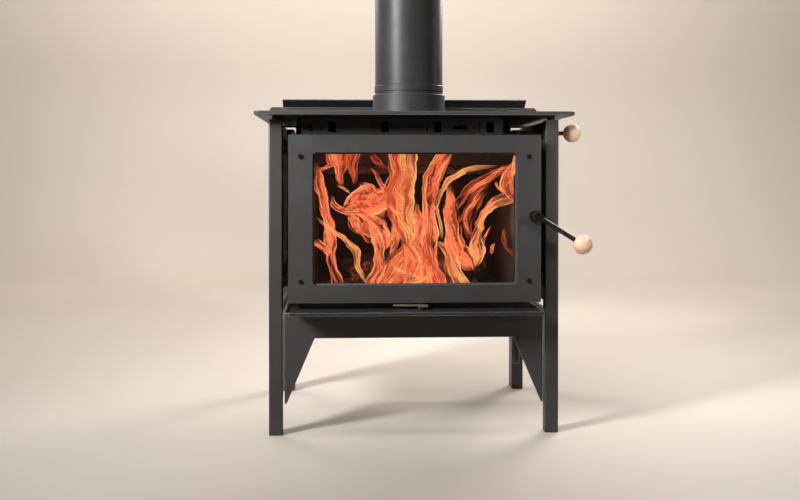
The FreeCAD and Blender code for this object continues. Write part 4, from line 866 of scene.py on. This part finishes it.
class STOVE_OT_add_embers(bpy.types.Operator):
    """Two charred split logs on a bed of glowing charcoal"""

    bl_idname = "stove.add_embers"
    bl_label = "Add the logs and embers"

    def execute(self, context):
        fire = context.scene.stove_fire
        finish = context.scene.stove_finish
        chance = random.Random(fire.seed)
        glowing = charcoal("glowing_charcoal", tuple(fire.ember), tuple(finish.soot), 0.8)
        charred = charcoal("charred_log", tuple(fire.ember), tuple(finish.soot), 0.35)
        inner_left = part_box("firebrick_left")[1].x
        inner_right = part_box("firebrick_right")[0].x
        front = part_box("firebrick_left")[0].y
        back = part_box("firebrick_back")[0].y
        lumps = []
        for _ in range(EMBERS):
            size = chance.uniform(6, 12) * MM
            deselect_all()
            bpy.ops.mesh.primitive_ico_sphere_add(
                subdivisions=2,
                radius=size,
                location=(
                    chance.uniform(inner_left + EMBER_MARGIN, inner_right - EMBER_MARGIN),
                    chance.uniform(front + EMBER_FRONT_MARGIN, back - EMBER_MARGIN),
                    FLOOR_BRICK_TOP + 0.62 * size,
                ),
                rotation=(chance.uniform(0, 3), chance.uniform(0, 3), chance.uniform(0, 3)),
                scale=(1.0, chance.uniform(0.6, 0.9), 0.6),
            )
            lumps.append(settle(bpy.context.object))
        bed = join(lumps, "ember_bed")
        roughen(bed, "VORONOI", 9 * MM, 3 * MM)
        apply_modifiers(bed)
        dress(bed, glowing, "stove")
        middle = (inner_left + inner_right) / 2
        for name, across, inwards, height, length, radius, swing in LOGS:
            deselect_all()
            bpy.ops.mesh.primitive_cylinder_add(
                vertices=18,
                radius=radius,
                depth=length,
                location=(middle + across, front + inwards, FLOOR_BRICK_TOP + height),
                rotation=(0.3, math.pi / 2, swing),
            )
            log = settle(name_new(name))
            bpy.ops.object.mode_set(mode="EDIT")
            bpy.ops.mesh.select_all(action="SELECT")
            bpy.ops.mesh.bisect(
                plane_co=(middle, front + inwards + radius * 0.25, FLOOR_BRICK_TOP + height),
                plane_no=(0.0, 0.8, 0.6), use_fill=True, clear_outer=True,
            )
            bpy.ops.mesh.select_all(action="SELECT")
            bpy.ops.mesh.quads_convert_to_tris()
            bpy.ops.mesh.subdivide(number_cuts=5)
            bpy.ops.object.mode_set(mode="OBJECT")
            roughen(log, "VORONOI", 22 * MM, 7 * MM)
            roughen(log, "CLOUDS", 6 * MM, 2.5 * MM)
            apply_modifiers(log)
            outward(log)
            dress(log, charred, "stove")
        return {"FINISHED"}


# Rope: its width across the channel, the round of its corners and the length of one turn of its plies.
ROPE_WIDTH = 8 * MM
ROPE_CORNER = 9 * MM
ROPE_LAY = 17 * MM
PLIES = 3
STEPS_A_TURN = 8
# Shares of the rope's size: how far a ply's middle runs from the rope's middle, and the ply's radius.
PLY_REACH = 0.23
PLY_RADIUS = 0.26


class STOVE_OT_add_rope_seal(bpy.types.Operator):
    """Twisted rope that seals the door, in its channel round the inner frame"""

    bl_idname = "stove.add_rope_seal"
    bl_label = "Add the door rope"

    def execute(self, context):
        finish = context.scene.stove_finish
        thick_y = ROPE_HIGH.y - ROPE_LOW.y
        centre = (ROPE_LOW + ROPE_HIGH) / 2
        half_x = (ROPE_HIGH.x - ROPE_LOW.x) / 2 - ROPE_WIDTH / 2
        half_z = (ROPE_HIGH.z - ROPE_LOW.z) / 2 - ROPE_WIDTH / 2
        straight_x, straight_z = half_x - ROPE_CORNER, half_z - ROPE_CORNER
        sides = (2 * straight_z, 2 * straight_x, 2 * straight_z, 2 * straight_x)
        arc = ROPE_CORNER * math.pi / 2
        whole = sum(sides) + 4 * arc
        turns = round(whole / ROPE_LAY)
        plies = []
        for ply in range(PLIES):
            points = []
            steps = turns * STEPS_A_TURN
            for step in range(steps):
                along = whole * step / steps
                place, outer = rope_point(along, sides, arc, straight_x, straight_z)
                angle = math.tau * (turns * step / steps + ply / PLIES)
                reach = PLY_REACH * ROPE_WIDTH * math.cos(angle)
                rise = PLY_REACH * thick_y * math.sin(angle)
                points.append((
                    centre.x + place[0] + outer[0] * reach,
                    centre.y + rise,
                    centre.z + place[1] + outer[1] * reach,
                ))
            even = [1.0] * len(points)
            strand = path_curve(f"ply_{ply}", points, even, radius=PLY_RADIUS * thick_y, cyclic=True)
            strand.data.splines[0].resolution_u = 1
            plies.append(to_mesh(strand))
        rope = join(plies, "door_rope")
        choose(rope)
        bpy.ops.object.shade_smooth()
        dress(rope, braided_rope("seal_rope", tuple(finish.rope)), "door")
        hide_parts("door_rope_seal")
        return {"FINISHED"}


def rope_point(along, sides, arc, straight_x, straight_z):
    """A point of the rounded rectangle at that distance round it, and the way outwards there."""
    outer_x, outer_z = straight_x + ROPE_CORNER, straight_z + ROPE_CORNER
    starts = ((outer_x, -straight_z), (straight_x, outer_z), (-outer_x, straight_z), (-straight_x, -outer_z))
    ways = ((0, 1), (-1, 0), (0, -1), (1, 0))
    bends = (
        (straight_x, straight_z), (-straight_x, straight_z),
        (-straight_x, -straight_z), (straight_x, -straight_z),
    )
    for index, (side, start, way, bend) in enumerate(zip(sides, starts, ways, bends)):
        if along <= side:
            return (start[0] + way[0] * along, start[1] + way[1] * along), (way[1], -way[0])
        along -= side
        if along <= arc:
            angle = math.pi / 2 * (index + along / arc)
            turned = (math.cos(angle), math.sin(angle))
            return (bend[0] + ROPE_CORNER * turned[0], bend[1] + ROPE_CORNER * turned[1]), turned
        along -= arc
    return starts[0], (1, 0)


# Stage -------------------------------------------------------------------------------------------


# Share of the surround's light that falls on the stove, and that the camera sees behind it.
SURROUND_LIGHT = 0.045
SURROUND_SEEN = 0.52
# Name, place, aim, size in metres, power in watts, spread in degrees and colour.
LIGHTS = (
    ("key_left", (-1.75, -1.55, 1.75), (-0.36, -0.2, 0.86), (0.42, 1.0), 12, 46, (1.0, 0.99, 0.98)),
    ("fill_front", (-0.7, -2.9, 2.2), (-0.1, 0, 0.8), (1.2, 0.8), 0.5, 60, (1.0, 1.0, 1.0)),
    ("ball_light", (1.7, -2.2, 1.0), (0.60, -0.2, 0.58), (0.4, 0.4), 0.95, 15, (1.0, 0.98, 0.95)),
    ("backdrop_light", (0.0, 1.6, 2.9), (0, 4.2, 1.0), (4.5, 0.8), 150, 180, (1.0, 0.95, 0.9)),
    ("floor_light", (0.0, -1.2, 3.2), (0, -1.1, 0.0), (4.5, 0.6), 16, 90, (1.0, 0.96, 0.92)),
    ("rear_left", (-1.8, 2.4, 2.0), (0, 0.2, 0.5), (1.2, 1.2), 6, 70, (1.0, 0.97, 0.93)),
    ("rear_right", (1.8, 2.4, 2.0), (0, 0.2, 0.5), (1.2, 1.2), 12, 70, (1.0, 0.94, 0.88)),
    ("side_right", (2.8, 0.4, 1.6), (0.4, 0.3, 0.5), (0.8, 2.0), 3, 90, (1.0, 0.92, 0.85)),
)
# Camera: lens in millimetres, share that the picture is shifted, and degrees tilted down and turned right.
CAMERA_LENS = 45.9
CAMERA_SHIFT = -0.076
CAMERA_TILT = 0.69
CAMERA_TURN = 2.72
# Floor: width and depth, place of its middle, height of the backdrop and round of the sweep, in metres.
FLOOR_SIZE = (14, 10)
FLOOR_MIDDLE_Y = -1.0
BACKDROP_HEIGHT = 6
SWEEP = 1.2


def softbox(name, place, aim, size, power, spread, colour):
    data = bpy.data.lights.new(name, "AREA")
    data.shape = "RECTANGLE"
    data.size, data.size_y = size
    data.energy = power
    data.spread = math.radians(spread)
    data.color = colour
    item = bpy.data.objects.new(name, data)
    bpy.context.scene.collection.objects.link(item)
    item.location = place
    item.rotation_euler = (Vector(aim) - Vector(place)).to_track_quat("-Z", "Y").to_euler()


class STOVE_OT_set_stage(bpy.types.Operator):
    """Plain pale floor and backdrop, soft studio lights and the camera"""

    bl_idname = "stove.set_stage"
    bl_label = "Set the stage"

    def execute(self, context):
        stage = context.scene.stove_stage
        self.add_floor(tuple(stage.floor))
        self.add_lights(context, tuple(stage.sky))
        self.add_camera(context, stage)
        return {"FINISHED"}

    def add_floor(self, colour):
        """A floor that sweeps up into a backdrop well behind the stove."""
        deselect_all()
        bpy.ops.mesh.primitive_plane_add(size=1, location=(0, FLOOR_MIDDLE_Y, -0.5 * MM))
        floor = name_new("floor")
        floor.scale = (*FLOOR_SIZE, 1)
        settle(floor)
        bpy.ops.object.mode_set(mode="EDIT")
        mesh = bmesh.from_edit_mesh(floor.data)
        far = max(vertex.co.y for vertex in mesh.verts) - 0.1
        for face in mesh.faces:
            face.select = False
        for edge in mesh.edges:
            if all(vertex.co.y > far for vertex in edge.verts):
                edge.select = True
        bmesh.update_edit_mesh(floor.data)
        bpy.ops.mesh.extrude_region_move(TRANSFORM_OT_translate={"value": (0, 0, BACKDROP_HEIGHT)})
        bpy.ops.object.mode_set(mode="OBJECT")
        curve = floor.modifiers.new("swept corner", "BEVEL")
        curve.width = SWEEP
        curve.segments = 16
        apply_modifiers(floor)
        bpy.ops.object.shade_smooth()
        floor.data.materials.append(stage_finish("pale_floor", colour))

    def add_lights(self, context, sky):
        world = bpy.data.worlds.new("studio")
        context.scene.world = world
        world.use_nodes = True
        background = world.node_tree.nodes["Background"]
        background.inputs["Color"].default_value = (*sky, 1.0)
        seen = world.node_tree.nodes.new("ShaderNodeLightPath").outputs["Is Camera Ray"]
        strength = world.node_tree.nodes.new("ShaderNodeMapRange")
        strength.inputs["To Min"].default_value = SURROUND_LIGHT
        strength.inputs["To Max"].default_value = SURROUND_SEEN
        world.node_tree.links.new(seen, strength.inputs["Value"])
        world.node_tree.links.new(strength.outputs["Result"], background.inputs["Strength"])
        for light in LIGHTS:
            softbox(*light)

    def add_camera(self, context, stage):
        data = bpy.data.cameras.new("front_view")
        data.sensor_width = 36
        data.lens = CAMERA_LENS
        data.shift_y = CAMERA_SHIFT
        data.clip_start = 0.05
        data.clip_end = 60
        camera = bpy.data.objects.new("front_view", data)
        context.scene.collection.objects.link(camera)
        camera.location = (CENTRE_X - stage.camera_side, FRONT_Y - stage.camera_back, stage.camera_height)
        camera.rotation_euler = (math.radians(90 - CAMERA_TILT), 0.0, math.radians(-CAMERA_TURN))
        context.scene.camera = camera
        context.scene.view_settings.view_transform = "Standard"


# Panel and registration --------------------------------------------------------------------------


OPERATORS = (
    STOVE_OT_paint_steel,
    STOVE_OT_finish_flue,
    STOVE_OT_finish_fittings,
    STOVE_OT_finish_firebox,
    STOVE_OT_finish_glass,
    STOVE_OT_add_rope_seal,
    STOVE_OT_add_embers,
    STOVE_OT_add_flames,
    STOVE_OT_set_stage,
)
GROUPS = (("stove_finish", StoveFinish), ("stove_fire", StoveFire), ("stove_stage", StoveStage))


class STOVE_PT_panel(bpy.types.Panel):
    """The stove's steps and values, in the sidebar"""

    bl_idname = "STOVE_PT_panel"
    bl_label = "Wood Burning Stove"
    bl_space_type = "VIEW_3D"
    bl_region_type = "UI"
    bl_category = "Stove"

    def draw(self, context):
        for step in OPERATORS:
            self.layout.operator(step.bl_idname)
        for attribute, group in GROUPS:
            box = self.layout.box()
            for name in group.__annotations__:
                box.prop(getattr(context.scene, attribute), name)


def register():
    for group_name, group in GROUPS:
        bpy.utils.register_class(group)
        setattr(bpy.types.Scene, group_name, bpy.props.PointerProperty(type=group))
    for item in (*OPERATORS, STOVE_PT_panel):
        bpy.utils.register_class(item)


def unregister():
    for item in reversed((*OPERATORS, STOVE_PT_panel)):
        bpy.utils.unregister_class(item)
    for group_name, group in reversed(GROUPS):
        delattr(bpy.types.Scene, group_name)
        bpy.utils.unregister_class(group)


def main():
    register()
    for step in OPERATORS:
        category, name = step.bl_idname.split(".")
        getattr(getattr(bpy.ops, category), name)()
    deselect_all()


if __name__ == "__main__":
    main()
